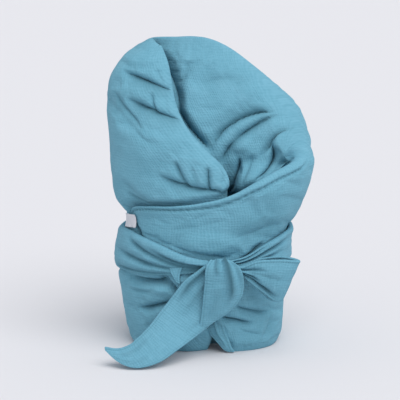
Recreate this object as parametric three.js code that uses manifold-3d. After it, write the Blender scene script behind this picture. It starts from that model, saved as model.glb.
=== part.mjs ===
// A padded baby swaddle wrap of crinkled cotton gauze, wrapped and tied, standing on its foot.
// The wrap is one filled square of cloth. Its left side is folded over to the front as a flap,
// its right side crosses over that flap and ends in a corner at the left, and its back stands up
// as a hood. A wide sash goes round the waist and is tied at the front in a half bow.
//
// Frame: +Z is up, the front faces -Y, +X is to the right as seen from the front.
// The origin is on the floor, under the middle of the body. Lengths are in millimetres.
//
// A place on the wrap is given by its turn and its height. The turn is an angle in degrees round
// the body: 0 at the front, 90 at the left side, 180 at the back and 270 at the right side.
// The flap starts at the front near turn -12, and the cloth goes on round the body past turn 360
// to the corner near turn 430, which lies over the flap.
import * as THREE from "three";
import { mergeVertices } from "three/addons/utils/BufferGeometryUtils.js";
import Module from "manifold-3d";

const wasm = await Module();
wasm.setup();

const DEGREE = Math.PI / 180;

// The outline of the wrapped body at each height: its left and right sides, its front and its
// back, and how square it is, where 2 is an ellipse.
const BODY = [
  { height: 0, left: -138, right: 141, front: -104, back: 96, square: 2.7 },
  { height: 35, left: -144, right: 143, front: -112, back: 104, square: 2.6 },
  { height: 110, left: -156, right: 148, front: -118, back: 109, square: 2.4 },
  { height: 165, left: -160, right: 152, front: -116, back: 107, square: 2.3 },
  { height: 205, left: -153, right: 154, front: -115, back: 107, square: 2.25 },
  { height: 225, left: -145, right: 159, front: -116, back: 108, square: 2.25 },
  { height: 242, left: -145, right: 169, front: -118, back: 110, square: 2.25 },
  { height: 270, left: -163, right: 183, front: -122, back: 115, square: 2.25 },
  { height: 310, left: -171, right: 194, front: -124, back: 119, square: 2.25 },
  { height: 350, left: -173, right: 202, front: -118, back: 118, square: 2.25 },
  { height: 400, left: -177, right: 204, front: -100, back: 114, square: 2.25 },
  { height: 440, left: -180, right: 198, front: -77, back: 109, square: 2.25 },
  { height: 480, left: -177, right: 168, front: -50, back: 100, square: 2.3 },
  { height: 515, left: -158, right: 136, front: -22, back: 88, square: 2.5 },
  { height: 545, left: -127, right: 109, front: 6, back: 75, square: 2.6 },
  { height: 562, left: -107, right: 91, front: 18, back: 67, square: 2.6 },
];
const MEAN_RADIUS = 150; // turns one degree into a length along the cloth

// The free edge of the left flap, from the floor up to where it meets the hood.
const FLAP_EDGE = [
  { height: 0, x: 6 },
  { height: 20, x: 14 },
  { height: 60, x: 28 },
  { height: 120, x: 40 },
  { height: 240, x: 46 },
  { height: 293, x: 47 },
  { height: 320, x: 47 },
  { height: 345, x: 35 },
  { height: 371, x: 14 },
  { height: 404, x: -18 },
  { height: 424, x: -34 },
  { height: 462, x: -47 },
  { height: 496, x: -55 },
  { height: 521, x: -68 },
  { height: 546, x: -88 },
];

// The upper edge of the wrap: the roll of the hood, the right shoulder and the hem that crosses
// the front to the corner of the right flap.
const RIM = [
  { turn: 40, height: 546 },
  { turn: 62, height: 557 },
  { turn: 100, height: 560 },
  { turn: 150, height: 561 },
  { turn: 185, height: 559 },
  { turn: 205, height: 545 },
  { turn: 222, height: 520 },
  { turn: 236, height: 486 },
  { turn: 248, height: 446 },
  { turn: 258, height: 408 },
  { turn: 268, height: 376 },
  { turn: 282, height: 357 },
  { turn: 300, height: 346 },
  { turn: 322, height: 331 },
  { turn: 338, height: 312 },
  { turn: 350, height: 293 },
  { turn: 363, height: 279 },
  { turn: 378, height: 272 },
  { turn: 400, height: 268 },
  { turn: 418, height: 261 },
  { turn: 428, height: 250 },
];
const FLAP_TOP = 546;
const HOOD_START = 40; // the turn at which the flap's edge meets the hood
const CORNER_TURN = 428;

// The lower edge of the right flap, from the floor up to the corner.
const CORNER_EDGE = [
  { height: 0, turn: 347 },
  { height: 20, turn: 348.6 },
  { height: 60, turn: 354.6 },
  { height: 118, turn: 372 },
  { height: 186, turn: 398 },
  { height: 250, turn: 428 },
];
const BELOW_FLOOR = 7; // the cloth's lower edge is pressed flat by this much

// The thickness of the filled cloth round the body, near the foot, at the shoulders, in the hood
// and at its top.
const FILL_HEIGHTS = { foot: 190, shoulder: 325, hood: 450, top: 545 };
const FILL = [
  { turn: -14, foot: 36, shoulder: 46, hood: 42, top: 24 },
  { turn: 30, foot: 36, shoulder: 48, hood: 44, top: 24 },
  { turn: 62, foot: 36, shoulder: 46, hood: 42, top: 23 },
  { turn: 90, foot: 36, shoulder: 42, hood: 40, top: 22 },
  { turn: 120, foot: 37, shoulder: 46, hood: 44, top: 24 },
  { turn: 150, foot: 38, shoulder: 52, hood: 50, top: 28 },
  { turn: 235, foot: 38, shoulder: 56, hood: 56, top: 36 },
  { turn: 275, foot: 35, shoulder: 52, hood: 50, top: 36 },
  { turn: 296, foot: 31, shoulder: 34, hood: 34, top: 34 },
  { turn: 315, foot: 24, shoulder: 24, hood: 24, top: 24 },
  { turn: 336, foot: 15, shoulder: 15, hood: 15, top: 15 },
  { turn: 430, foot: 13, shoulder: 13, hood: 13, top: 13 },
];
// Behind the opening the hood is thicker, as the square's corner is turned in there and the cloth
// lies in rolls behind the right shoulder: its inner face follows this outline, not the thickness.
const ROLLS = [
  { height: 250, left: -115, right: 118, front: -20, back: 12, square: 2.25 },
  { height: 300, left: -125, right: 132, front: -50, back: -34, square: 2.25 },
  { height: 340, left: -130, right: 140, front: -60, back: -47, square: 2.25 },
  { height: 380, left: -130, right: 142, front: -56, back: -42, square: 2.25 },
  { height: 420, left: -130, right: 132, front: -42, back: -28, square: 2.25 },
  { height: 460, left: -126, right: 110, front: -24, back: -8, square: 2.25 },
  { height: 500, left: -116, right: 88, front: -2, back: 13, square: 2.25 },
  { height: 545, left: -88, right: 64, front: 26, back: 38, square: 2.25 },
  { height: 562, left: -72, right: 52, front: 36, back: 44, square: 2.25 },
];
const ROLLS_TURNS = { start: 122, full: 174, fullEnd: 266, end: 302 };
const ROLLS_HEIGHTS = { start: 205, full: 300 };
const LAYER_GAP = 3.4; // between the right flap and the flap under it
const LAYER_PROUD = 2; // how far the right flap stands out from the body's outline
const PROUD_TURNS = { start: 318, full: 345 };
const FLAP_BACK = 110; // past this turn nothing lies over the flap
const COVER_SOFT = { start: -26, full: -3 }; // over which the covered flap steps inwards
const COVER_LEAN = 0.7; // turns a length round the body into a distance from the sloping edge

// How round each edge is: the distance over which the filling reaches its full thickness.
const ROUND_FLAP = 30;
const ROUND_HOOD = [
  { turn: 40, radius: 24 },
  { turn: 100, radius: 28 },
  { turn: 150, radius: 42 },
  { turn: 250, radius: 44 },
  { turn: 280, radius: 26 },
  { turn: 320, radius: 10 },
  { turn: 430, radius: 9 },
];
const ROUND_CORNER = 8;
const ROUND_FOOT = 17;

// The sash's belt: its lower and upper edge round the waist, drawn together at the knot.
const BELT = [
  { turn: -3, low: 155, top: 174 },
  { turn: 8, low: 150, top: 182 },
  { turn: 30, low: 144, top: 203 },
  { turn: 55, low: 143, top: 216 },
  { turn: 90, low: 144, top: 217 },
  { turn: 135, low: 147, top: 221 },
  { turn: 180, low: 150, top: 224 },
  { turn: 225, low: 153, top: 222 },
  { turn: 270, low: 156, top: 218 },
  { turn: 300, low: 158, top: 211 },
  { turn: 320, low: 157, top: 197 },
  { turn: 335, low: 156, top: 180 },
  { turn: 349, low: 156, top: 172 },
];
const BELT_START = -3;
const BELT_END = 349;
const BELT_PRESS = 3.5; // how far the sash pulls the padding in
const BELT_SOFT = { start: -16, full: 8 }; // from the belt's edge, over which it does so
const SASH_THICK = 3; // two layers of gauze and their hems
const SASH_GAP = 0.7; // between the sash and what it lies on
const PATCH = { turn: 3, height: 9 }; // what lies on the cloth clears every fold this near
const NO_CLOTH = -60; // where no layer of the wrap is found

// Folds in the cloth, as seen from the front. Each runs from a start through a middle to an end,
// in x and height, and is so deep and so wide. On "flap" and "front" it is on the outside of the
// left or the right flap, on "back" on the outside of the back, and on "inside" within the hood.
const FOLDS = [
  { on: "flap", x0: -150, z0: 505, x1: -112, z1: 491, x2: -62, z2: 472, width: 15, depth: 19 },
  { on: "flap", x0: -138, z0: 448, x1: -94, z1: 433, x2: -42, z2: 422, width: 15, depth: 21 },
  { on: "flap", x0: -158, z0: 456, x1: -143, z1: 432, x2: -114, z2: 402, width: 18, depth: 12 },
  { on: "flap", x0: -78, z0: 320, x1: -25, z1: 306, x2: 32, z2: 299, width: 14, depth: 16 },
  { on: "flap", x0: -150, z0: 298, x1: -112, z1: 279, x2: -58, z2: 270, width: 15, depth: 12 },
  { on: "inside", x0: 122, z0: 436, x1: 62, z1: 408, x2: 8, z2: 358, width: 15, depth: 20 },
  { on: "inside", x0: 138, z0: 416, x1: 86, z1: 388, x2: 40, z2: 326, width: 14, depth: 20 },
  { on: "inside", x0: 146, z0: 390, x1: 126, z1: 366, x2: 106, z2: 322, width: 14, depth: 18 },
  { on: "inside", x0: 62, z0: 346, x1: 56, z1: 322, x2: 50, z2: 290, width: 13, depth: 16 },
  { on: "front", x0: 64, z0: 180, x1: 82, z1: 194, x2: 106, z2: 206, width: 13, depth: 10 },
  { on: "front", x0: -40, z0: 262, x1: 40, z1: 244, x2: 150, z2: 262, width: 26, depth: 5 },
  { on: "front", x0: 22, z0: 92, x1: 62, z1: 78, x2: 106, z2: 70, width: 15, depth: 9 },
  { on: "front", x0: 62, z0: 112, x1: 92, z1: 103, x2: 130, z2: 96, width: 14, depth: 8 },
  { on: "flap", x0: -150, z0: 126, x1: -108, z1: 132, x2: -56, z2: 130, width: 14, depth: 12 },
  { on: "flap", x0: -124, z0: 70, x1: -92, z1: 80, x2: -52, z2: 90, width: 14, depth: 12 },
  { on: "back", x0: -120, z0: 285, x1: -20, z1: 262, x2: 90, z2: 296, width: 22, depth: 9 },
  { on: "back", x0: -90, z0: 120, x1: 10, z1: 136, x2: 100, z2: 108, width: 20, depth: 9 },
  { on: "back", x0: 30, z0: 470, x1: -10, z1: 420, x2: -95, z2: 395, width: 26, depth: 11 },
];
const FOLD_LAYERS = {
  flap: { from: -40, to: 118, face: "outer" },
  front: { from: 262, to: 440, face: "outer" },
  back: { from: 100, to: 268, face: "outer" },
  inside: { from: 150, to: 294, face: "inner" },
};
const FOLD_SOFT = 14; // the folds fade over so many degrees at the ends of their layer
const FOLD_STEPS = 10;
const FOLD_SHARPNESS = 1.4; // 2 would be a round trough, and 1 a sharp crease
const FOLD_FADE = 0.22; // the share of a fold's length over which it fades at each end

// The foot of the square is folded in under the body: a padded floor.
const FOOT_THICK = 24;
const FOOT_INSET = 24; // how far the floor's rim lies inside the body's outline
const FOOT_START = -20; // the turn at which the wall's lower edge starts, under the flap

// The sash's free parts, in sections from the knot outwards. Each section gives the places of
// the ribbon's two edges, and how far its middle swells away from the straight line between them.
const LONG_TAIL = [
  { ax: 4, ay: -126, az: 172, bx: 36, by: -126, bz: 158, swell: 1 },
  { ax: -16, ay: -127, az: 156, bx: 29, by: -127, bz: 122, swell: 3 },
  { ax: -37, ay: -128, az: 140, bx: 24, by: -129, bz: 91, swell: 5 },
  { ax: -59, ay: -131, az: 112, bx: 11, by: -134, bz: 63, swell: 6 },
  { ax: -80, ay: -138, az: 86, bx: -17, by: -152, bz: 43, swell: 7 },
  { ax: -98, ay: -147, az: 64, bx: -45, by: -176, bz: 29, swell: 8 },
  { ax: -115, ay: -157, az: 48, bx: -73, by: -195, bz: 14, swell: 8 },
  { ax: -132, ay: -167, az: 35, bx: -99, by: -204, bz: 6, swell: 8 },
  { ax: -149, ay: -174, az: 30, bx: -124, by: -206, bz: 4, swell: 6 },
  { ax: -164, ay: -178, az: 31, bx: -150, by: -200, bz: 12, swell: 3 },
  { ax: -176, ay: -181, az: 34, bx: -175, by: -184, bz: 29, swell: 0 },
];
const SHORT_TAIL = [
  { ax: 9, ay: -133, az: 180, bx: 48, by: -133, bz: 174, swell: 3 },
  { ax: 1, ay: -143, az: 166, bx: 62, by: -141, bz: 166, swell: 9 },
  { ax: -1, ay: -145, az: 141, bx: 68, by: -143, bz: 145, swell: 11 },
  { ax: -4, ay: -145, az: 113, bx: 66, by: -143, bz: 117, swell: 8 },
  { ax: -7, ay: -144, az: 86, bx: 47, by: -143, bz: 92, swell: 5 },
  { ax: -9, ay: -144, az: 67, bx: 12, by: -143, bz: 66, swell: 1 },
  { ax: -10, ay: -143, az: 60, bx: -5, by: -143, bz: 57, swell: 0 },
];
const LOOP = [
  { ax: 48, ay: -134, az: 168, bx: 50, by: -134, bz: 152, swell: 1 },
  { ax: 66, ay: -137, az: 169, bx: 69, by: -137, bz: 148, swell: 4 },
  { ax: 93, ay: -142, az: 180, bx: 90, by: -142, bz: 132, swell: 7 },
  { ax: 131, ay: -146, az: 183, bx: 114, by: -145, bz: 112, swell: 8 },
  { ax: 155, ay: -143, az: 181, bx: 128, by: -143, bz: 105, swell: 6 },
  { ax: 167, ay: -136, az: 179, bx: 136, by: -137, bz: 104, swell: 0 },
  { ax: 155, ay: -129, az: 182, bx: 128, by: -131, bz: 102, swell: -5 },
  { ax: 132, ay: -125, az: 184, bx: 112, by: -126, bz: 105, swell: -5 },
  { ax: 95, ay: -124, az: 179, bx: 91, by: -124, bz: 125, swell: -3 },
  { ax: 66, ay: -126, az: 168, bx: 68, by: -126, bz: 147, swell: 0 },
  { ax: 46, ay: -128, az: 167, bx: 48, by: -128, bz: 153, swell: 0 },
];
const SASH_CORNER = [
  { ax: -65, ay: -113, az: 160, bx: -40, by: -117, bz: 162, swell: 0 },
  { ax: -60, ay: -118, az: 149, bx: -45, by: -120, bz: 146, swell: 1 },
  { ax: -51, ay: -121, az: 135, bx: -45, by: -122, bz: 131, swell: 0 },
];
const KNOT = { x: 28, y: -130, z: 163, halfWidth: 31, halfDepth: 16, halfHeight: 17 };

// The label: a small folded strip sewn to the corner of the right flap.
const LABEL = [
  { turn: 56, low: 224, top: 249 },
  { turn: 82, low: 217, top: 243 },
];
const LABEL_THICK = 1.2;
const LABEL_GAP = 1.65;

// How finely each piece is made: columns round or along it, and rows up or across it.
const WRAP_COLUMNS = 64;
const WRAP_ROWS = 42;
const ROWS_CLOSER = 0.4; // how much closer the rows are near the foot and the rim
const EDGE_STEPS = 90;
const FOOT_COLUMNS = 26;
const BELT_COLUMNS = 72;
const BELT_ROWS = 6;
const TAIL_ROWS = 6;
const TAIL_STEPS = 3; // columns between two sections
const KNOT_COLUMNS = 14;
const KNOT_ROWS = 9;
const LABEL_COLUMNS = 8;
const LABEL_ROWS = 3;
const WELD = 1e-3; // points closer than this are one point

const WRAP_COLOUR = 0x6ba6bd;
const SASH_COLOUR = 0x66a1b8;
const LABEL_COLOUR = 0xd8dade;
const CLOTH_ROUGHNESS = 0.95;

function mix(a, b, t) {
  return a + (b - a) * t;
}

function limit(value, low, high) {
  return Math.min(high, Math.max(low, value));
}

// Rises smoothly from 0 at a to 1 at b.
function rise(a, b, value) {
  const t = limit((value - a) / (b - a), 0, 1);
  return t * t * (3 - 2 * t);
}

// A smooth curve through one column of a table, read at a value of its first column.
function curveThrough(table, along, of) {
  const at = table.map((row) => row[along]);
  const values = table.map((row) => row[of]);
  const steps = at.slice(1).map((a, i) => (values[i + 1] - values[i]) / (a - at[i]));
  const slopes = at.map((a, i) => {
    if (i === 0) return steps[0];
    if (i === at.length - 1) return steps[i - 1];
    const before = a - at[i - 1];
    const after = at[i + 1] - a;
    return (steps[i - 1] * after + steps[i] * before) / (before + after);
  });
  return (value) => {
    const a = limit(value, at[0], at[at.length - 1]);
    let i = 0;
    while (i < at.length - 2 && a > at[i + 1]) i += 1;
    const span = at[i + 1] - at[i];
    const t = (a - at[i]) / span;
    const t2 = t * t;
    const t3 = t2 * t;
    return (
      (2 * t3 - 3 * t2 + 1) * values[i] +
      (t3 - 2 * t2 + t) * span * slopes[i] +
      (3 * t2 - 2 * t3) * values[i + 1] +
      (t3 - t2) * span * slopes[i + 1]
    );
  };
}

const flapEdgeX = curveThrough(FLAP_EDGE, "height", "x");
const cornerEdgeTurn = curveThrough(CORNER_EDGE, "height", "turn");
const rimHeight = curveThrough(RIM, "turn", "height");
const roundHood = curveThrough(ROUND_HOOD, "turn", "radius");
const fillLevels = Object.keys(FILL_HEIGHTS).map((level) => ({
  height: FILL_HEIGHTS[level],
  thick: curveThrough(FILL, "turn", level),
}));
const beltLow = curveThrough(BELT, "turn", "low");
const beltTop = curveThrough(BELT, "turn", "top");

function outlineOf(table) {
  const through = (side) => curveThrough(table, "height", side);
  const [left, right, front, back, square] = ["left", "right", "front", "back", "square"].map(through);
  return (height) => ({
    middleX: (left(height) + right(height)) / 2,
    middleY: (front(height) + back(height)) / 2,
    halfWidth: (right(height) - left(height)) / 2,
    halfDepth: (back(height) - front(height)) / 2,
    square: square(height),
  });
}
const bodyOutline = outlineOf(BODY);
const rollsOutline = outlineOf(ROLLS);

// The point of an outline at a turn and a height, with the outline grown by an offset.
function pointOn(outline, turn, height, offset) {
  const { middleX, middleY, halfWidth, halfDepth, square } = outline(height);
  const s = Math.sin(turn * DEGREE);
  const c = Math.cos(turn * DEGREE);
  const across = -Math.sign(s) * Math.abs(s) ** (2 / square);
  const deep = -Math.sign(c) * Math.abs(c) ** (2 / square);
  const x = middleX + (halfWidth + offset) * across;
  const y = middleY + (halfDepth + offset) * deep;
  return new THREE.Vector3(x, y, height);
}

function pointAt(turn, height, offset) {
  return pointOn(bodyOutline, turn, height, offset);
}

// The turn, on the front half, at which the outline has this x.
function turnOfX(x, height) {
  const { middleX, halfWidth, square } = bodyOutline(height);
  const share = limit((middleX - x) / halfWidth, -1, 1);
  return Math.asin(Math.sign(share) * Math.abs(share) ** (square / 2)) / DEGREE;
}

function flapEdgeTurn(height) {
  return turnOfX(flapEdgeX(height), height);
}

function fillAt(turn, height) {
  let thick = fillLevels[0].thick(turn);
  for (let i = 1; i < fillLevels.length; i += 1) {
    const share = rise(fillLevels[i - 1].height, fillLevels[i].height, height);
    thick = mix(thick, fillLevels[i].thick(turn), share);
  }
  return thick;
}

// How far a place on the left flap is covered by the right flap, from 0 to 1.
function coverAt(turn, height) {
  if (turn > FLAP_BACK) return 0;
  const over = turn + 360;
  const belowHem = rimHeight(over) - height;
  const beforeEdge = (cornerEdgeTurn(height) - over) * DEGREE * MEAN_RADIUS * COVER_LEAN;
  return rise(COVER_SOFT.start, COVER_SOFT.full, Math.min(belowHem, beforeEdge));
}

// How far the sash presses the body in, from 0 to 1.
function beltPressAt(turn, height) {
  const around = turn > BELT_END ? turn - 360 : turn;
  const within = Math.min(height - beltLow(around), beltTop(around) - height);
  return rise(BELT_SOFT.start, BELT_SOFT.full, within);
}

// A fold's line in x and height.
function foldLine(fold) {
  const start = new THREE.Vector2(fold.x0, fold.z0);
  const middle = new THREE.Vector2(fold.x1, fold.z1);
  const end = new THREE.Vector2(fold.x2, fold.z2);
  return new THREE.SplineCurve([start, middle, end]).getPoints(FOLD_STEPS);
}
const foldLines = FOLDS.map(foldLine);

// The distance from a point to a line, and how far along the line the nearest place is.
function nearestOn(line, x, z) {
  let best = Infinity;
  let along = 0;
  for (let i = 0; i < line.length - 1; i += 1) {
    const a = line[i];
    const stepX = line[i + 1].x - a.x;
    const stepZ = line[i + 1].y - a.y;
    const size = stepX * stepX + stepZ * stepZ;
    const t = limit(((x - a.x) * stepX + (z - a.y) * stepZ) / size, 0, 1);
    const distance = Math.hypot(x - a.x - t * stepX, z - a.y - t * stepZ);
    if (distance < best) {
      best = distance;
      along = (i + t) / (line.length - 1);
    }
  }
  return { distance: best, along };
}

// How deep the folds are at a place on one face of the wrap.
function foldDepth(face, turn, x, height) {
  let depth = 0;
  FOLDS.forEach((fold, i) => {
    const layer = FOLD_LAYERS[fold.on];
    if (layer.face !== face || turn < layer.from || turn > layer.to) return;
    const begun = rise(layer.from, layer.from + FOLD_SOFT, turn);
    const over = rise(layer.to, layer.to - FOLD_SOFT, turn);
    const { distance, along } = nearestOn(foldLines[i], x, height);
    const fade = rise(0, FOLD_FADE, along) * rise(0, FOLD_FADE, 1 - along);
    const trough = Math.exp(-((distance / fold.width) ** FOLD_SHARPNESS));
    depth += fold.depth * begun * over * fade * trough;
  });
  return depth;
}

// The share of the full thickness at a distance from a round edge.
function roundness(distance, radius) {
  const t = limit(1 - distance / radius, 0, 1);
  return Math.sqrt(1 - t * t);
}

// Each edge of the wrap as a line in length round the body and height.
function edgeLine(placeAt) {
  const line = [];
  for (let i = 0; i <= EDGE_STEPS; i += 1) {
    const { turn, height } = placeAt(i / EDGE_STEPS);
    line.push(new THREE.Vector2(turn * DEGREE * MEAN_RADIUS, height));
  }
  return line;
}
const EDGES = [
  {
    radius: () => ROUND_FLAP,
    line: edgeLine((t) => ({ turn: flapEdgeTurn(t * FLAP_TOP), height: t * FLAP_TOP })),
  },
  {
    radius: roundHood,
    line: edgeLine((t) => {
      const turn = mix(HOOD_START, CORNER_TURN, t);
      return { turn, height: rimHeight(turn) };
    }),
  },
  {
    radius: () => ROUND_CORNER,
    line: edgeLine((t) => {
      const height = t * rimHeight(CORNER_TURN);
      return { turn: cornerEdgeTurn(height), height };
    }),
  },
  {
    radius: () => ROUND_FOOT,
    line: edgeLine((t) => ({ turn: mix(FOOT_START, cornerEdgeTurn(0), t), height: -BELOW_FLOOR })),
  },
];

function edgeShare(turn, height) {
  const s = turn * DEGREE * MEAN_RADIUS;
  return EDGES.reduce((share, edge) => {
    const { distance } = nearestOn(edge.line, s, height);
    return share * roundness(distance, edge.radius(turn));
  }, 1);
}

// Where the outside of the cloth lies at a place, as an offset from the body's outline.
function outsideAt(turn, height) {
  const under = fillAt(turn + 360, height) + LAYER_GAP;
  const proud = LAYER_PROUD * rise(PROUD_TURNS.start, PROUD_TURNS.full, turn);
  return proud - coverAt(turn, height) * under - BELT_PRESS * beltPressAt(turn, height);
}

// The two faces of the filled cloth at a turn and a height.
function wrapFaces(turn, height) {
  const outside = outsideAt(turn, height);
  const outer = pointAt(turn, height, outside);
  const inner = pointAt(turn, height, outside - fillAt(turn, height));
  const rolled =
    rise(ROLLS_TURNS.start, ROLLS_TURNS.full, turn) *
    rise(ROLLS_TURNS.end, ROLLS_TURNS.fullEnd, turn) *
    rise(ROLLS_HEIGHTS.start, ROLLS_HEIGHTS.full, height);
  if (rolled > 0) inner.lerp(pointOn(rollsOutline, turn, height, 0), rolled);
  const centre = outer.clone().lerp(inner, 0.5);
  const half = outer.distanceTo(inner) / 2;
  const way = outer.clone().sub(inner).normalize();
  const held = edgeShare(turn, height);
  const open = 1 - coverAt(turn, height);
  const outerFold = foldDepth("outer", turn, outer.x, height) * open * held;
  const innerFold = foldDepth("inner", turn, inner.x, height) * held;
  outer.copy(centre).addScaledVector(way, half * held - outerFold);
  inner.copy(centre).addScaledVector(way, innerFold - half * held);
  outer.z = Math.max(height, 0);
  inner.z = outer.z;
  return { outer, inner };
}

// A closed pillow of two faces that meet all round its edge. Its columns follow u from 0 to 1
// and its rows v from 0 to 1, and facesAt gives the outer and the inner point.
function pillow(columns, rows, facesAt) {
  const positions = [];
  const index = [];
  const outer = [];
  const inner = [];
  const add = (point) => positions.push(point.x, point.y, point.z) / 3 - 1;
  for (let i = 0; i <= columns; i += 1) {
    outer.push([]);
    inner.push([]);
    for (let j = 0; j <= rows; j += 1) {
      const faces = facesAt(i / columns, j / rows);
      const onEdge = i === 0 || j === 0 || i === columns || j === rows;
      if (onEdge) {
        const middle = faces.outer.clone().lerp(faces.inner, 0.5);
        outer[i].push(add(middle));
        inner[i].push(outer[i][j]);
      } else {
        outer[i].push(add(faces.outer));
        inner[i].push(add(faces.inner));
      }
    }
  }
  const quad = (a, b, c, d) => index.push(a, b, c, a, c, d);
  for (let i = 0; i < columns; i += 1)
    for (let j = 0; j < rows; j += 1) {
      quad(outer[i][j], outer[i][j + 1], outer[i + 1][j + 1], outer[i + 1][j]);
      quad(inner[i][j], inner[i + 1][j], inner[i + 1][j + 1], inner[i][j + 1]);
    }
  const geometry = new THREE.BufferGeometry();
  geometry.setAttribute("position", new THREE.Float32BufferAttribute(positions, 3));
  geometry.setIndex(index);
  return geometry;
}

// Moves rows or columns closer together near both ends, where the edges are round.
function closerAtEnds(t, strength) {
  return t - (strength * Math.sin(2 * Math.PI * t)) / (2 * Math.PI);
}

// The places of the wrap's columns, closer together where the cloth folds most.
const COLUMN_SPANS = [
  { share: 0, turn: HOOD_START },
  { share: 0.06, turn: 48 },
  { share: 0.26, turn: 120 },
  { share: 0.42, turn: 205 },
  { share: 0.72, turn: 300 },
  { share: 0.97, turn: 420 },
  { share: 1, turn: CORNER_TURN },
];
const columnTurn = curveThrough(COLUMN_SPANS, "share", "turn");
const FLAP_FAN = 125; // columns before this turn lean to follow the flap's edge
const CORNER_FAN = 236; // columns after this turn lean to follow the right flap's lower edge

function wrapPlace(u, v) {
  const column = columnTurn(u);
  const top = rimHeight(column);
  // The first row lies under the floor line and the second on it, so that the cloth stands flat.
  const aboveFloor = (v * WRAP_ROWS - 1) / (WRAP_ROWS - 1);
  const up = closerAtEnds(Math.max(aboveFloor, 0), ROWS_CLOSER);
  const height = v === 0 ? -BELOW_FLOOR : top * up;
  const flapLean = rise(FLAP_FAN, HOOD_START, column) * (flapEdgeTurn(height) - HOOD_START);
  const cornerTurn = cornerEdgeTurn(rimHeight(CORNER_TURN) * up);
  const cornerLean = rise(CORNER_FAN, CORNER_TURN, column) * (cornerTurn - CORNER_TURN);
  return { turn: column + flapLean + cornerLean, height };
}

function solidOf(geometry) {
  const bare = new THREE.BufferGeometry();
  bare.setAttribute("position", geometry.attributes.position);
  bare.setIndex(geometry.index);
  const welded = mergeVertices(bare, WELD);
  const mesh = new wasm.Mesh({
    numProp: 3,
    vertProperties: new Float32Array(welded.attributes.position.array),
    triVerts: new Uint32Array(welded.index.array),
  });
  return new wasm.Manifold(mesh);
}

function geometryOf(solid) {
  const mesh = solid.getMesh();
  const geometry = new THREE.BufferGeometry();
  geometry.setAttribute("position", new THREE.BufferAttribute(mesh.vertProperties, 3));
  geometry.setIndex(new THREE.BufferAttribute(mesh.triVerts, 1));
  return geometry;
}

function wrapCloth() {
  return pillow(WRAP_COLUMNS, WRAP_ROWS, (u, v) => {
    const { turn, height } = wrapPlace(u, v);
    return wrapFaces(turn, height);
  });
}

// The padded floor: a flat disc whose rim lies within the walls.
function footFloor() {
  const shape = new THREE.Shape();
  for (let i = 0; i < FOOT_COLUMNS; i += 1) {
    const rim = pointAt((-360 * i) / FOOT_COLUMNS, 0, -FOOT_INSET);
    if (i === 0) shape.moveTo(rim.x, rim.y);
    else shape.lineTo(rim.x, rim.y);
  }
  return new THREE.ExtrudeGeometry(shape, { depth: FOOT_THICK, bevelEnabled: false });
}

// The outermost cloth of the wrap at a turn and a height.
function skinAt(turn, height) {
  const places = [turn, turn + 360].filter((place) => {
    const afterFlap = place > flapEdgeTurn(height) || place > FLAP_BACK;
    return afterFlap && height < rimHeight(place) && place < cornerEdgeTurn(height);
  });
  const ground = pointAt(turn, height, 0);
  const way = pointAt(turn, height, 1).sub(ground);
  const offsets = places.map(
    (place) => wrapFaces(place, height).outer.sub(ground).dot(way) / way.lengthSq(),
  );
  return Math.max(NO_CLOTH, ...offsets);
}

// The same, over a small patch round the place, so that what lies on it clears every fold.
function clearSkinAt(turn, height) {
  const offsets = [];
  for (const side of [-PATCH.turn, 0, PATCH.turn]) {
    for (const up of [-PATCH.height, 0, PATCH.height]) {
      offsets.push(skinAt(turn + side, height + up));
    }
  }
  return Math.max(...offsets);
}

function belt() {
  return pillow(BELT_COLUMNS, BELT_ROWS, (u, v) => {
    const turn = mix(BELT_START, BELT_END, u);
    const height = mix(beltLow(turn), beltTop(turn), v);
    const inside = clearSkinAt(turn, height) + SASH_GAP;
    return {
      outer: pointAt(turn, height, inside + SASH_THICK),
      inner: pointAt(turn, height, inside),
    };
  });
}

// A ribbon through its sections: a sheet of even thickness with rounded ends.
function ribbon(sections) {
  const place = sections.map((section, i) => ({ ...section, place: i }));
  const through = (key) => curveThrough(place, "place", key);
  const [ax, ay, az] = ["ax", "ay", "az"].map(through);
  const [bx, by, bz] = ["bx", "by", "bz"].map(through);
  const swell = through("swell");
  const last = sections.length - 1;
  const middleAt = (u, v) => {
    const t = u * last;
    const a = new THREE.Vector3(ax(t), ay(t), az(t));
    const b = new THREE.Vector3(bx(t), by(t), bz(t));
    return a.lerp(b, v).add(new THREE.Vector3(0, -swell(t) * 4 * v * (1 - v), 0));
  };
  return pillow(last * TAIL_STEPS, TAIL_ROWS, (u, v) => {
    const step = 0.01;
    const along = middleAt(Math.min(u + step, 1), v).sub(middleAt(Math.max(u - step, 0), v));
    const across = middleAt(u, Math.min(v + step, 1)).sub(middleAt(u, Math.max(v - step, 0)));
    const out = along.cross(across).normalize();
    const middle = middleAt(u, v);
    return {
      outer: middle.clone().addScaledVector(out, -SASH_THICK / 2),
      inner: middle.clone().addScaledVector(out, SASH_THICK / 2),
    };
  });
}

function knot() {
  const ball = new THREE.SphereGeometry(1, KNOT_COLUMNS, KNOT_ROWS);
  ball.scale(KNOT.halfWidth, KNOT.halfDepth, KNOT.halfHeight);
  ball.translate(KNOT.x, KNOT.y, KNOT.z);
  return ball;
}

function label() {
  const low = curveThrough(LABEL, "turn", "low");
  const top = curveThrough(LABEL, "turn", "top");
  return pillow(LABEL_COLUMNS, LABEL_ROWS, (u, v) => {
    const turn = mix(LABEL[0].turn, LABEL[1].turn, u);
    const height = mix(low(turn), top(turn), v);
    const inside = clearSkinAt(turn, height) + LABEL_GAP;
    return {
      outer: pointAt(turn, height, inside + LABEL_THICK),
      inner: pointAt(turn, height, inside),
    };
  });
}

function joined(geometries) {
  return geometryOf(wasm.Manifold.union(geometries.map(solidOf)));
}

const group = new THREE.Group();
function addPiece(name, geometry, color) {
  const material = new THREE.MeshStandardMaterial({ color, roughness: CLOTH_ROUGHNESS, metalness: 0 });
  const mesh = new THREE.Mesh(geometry, material);
  mesh.name = name;
  group.add(mesh);
}

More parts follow.
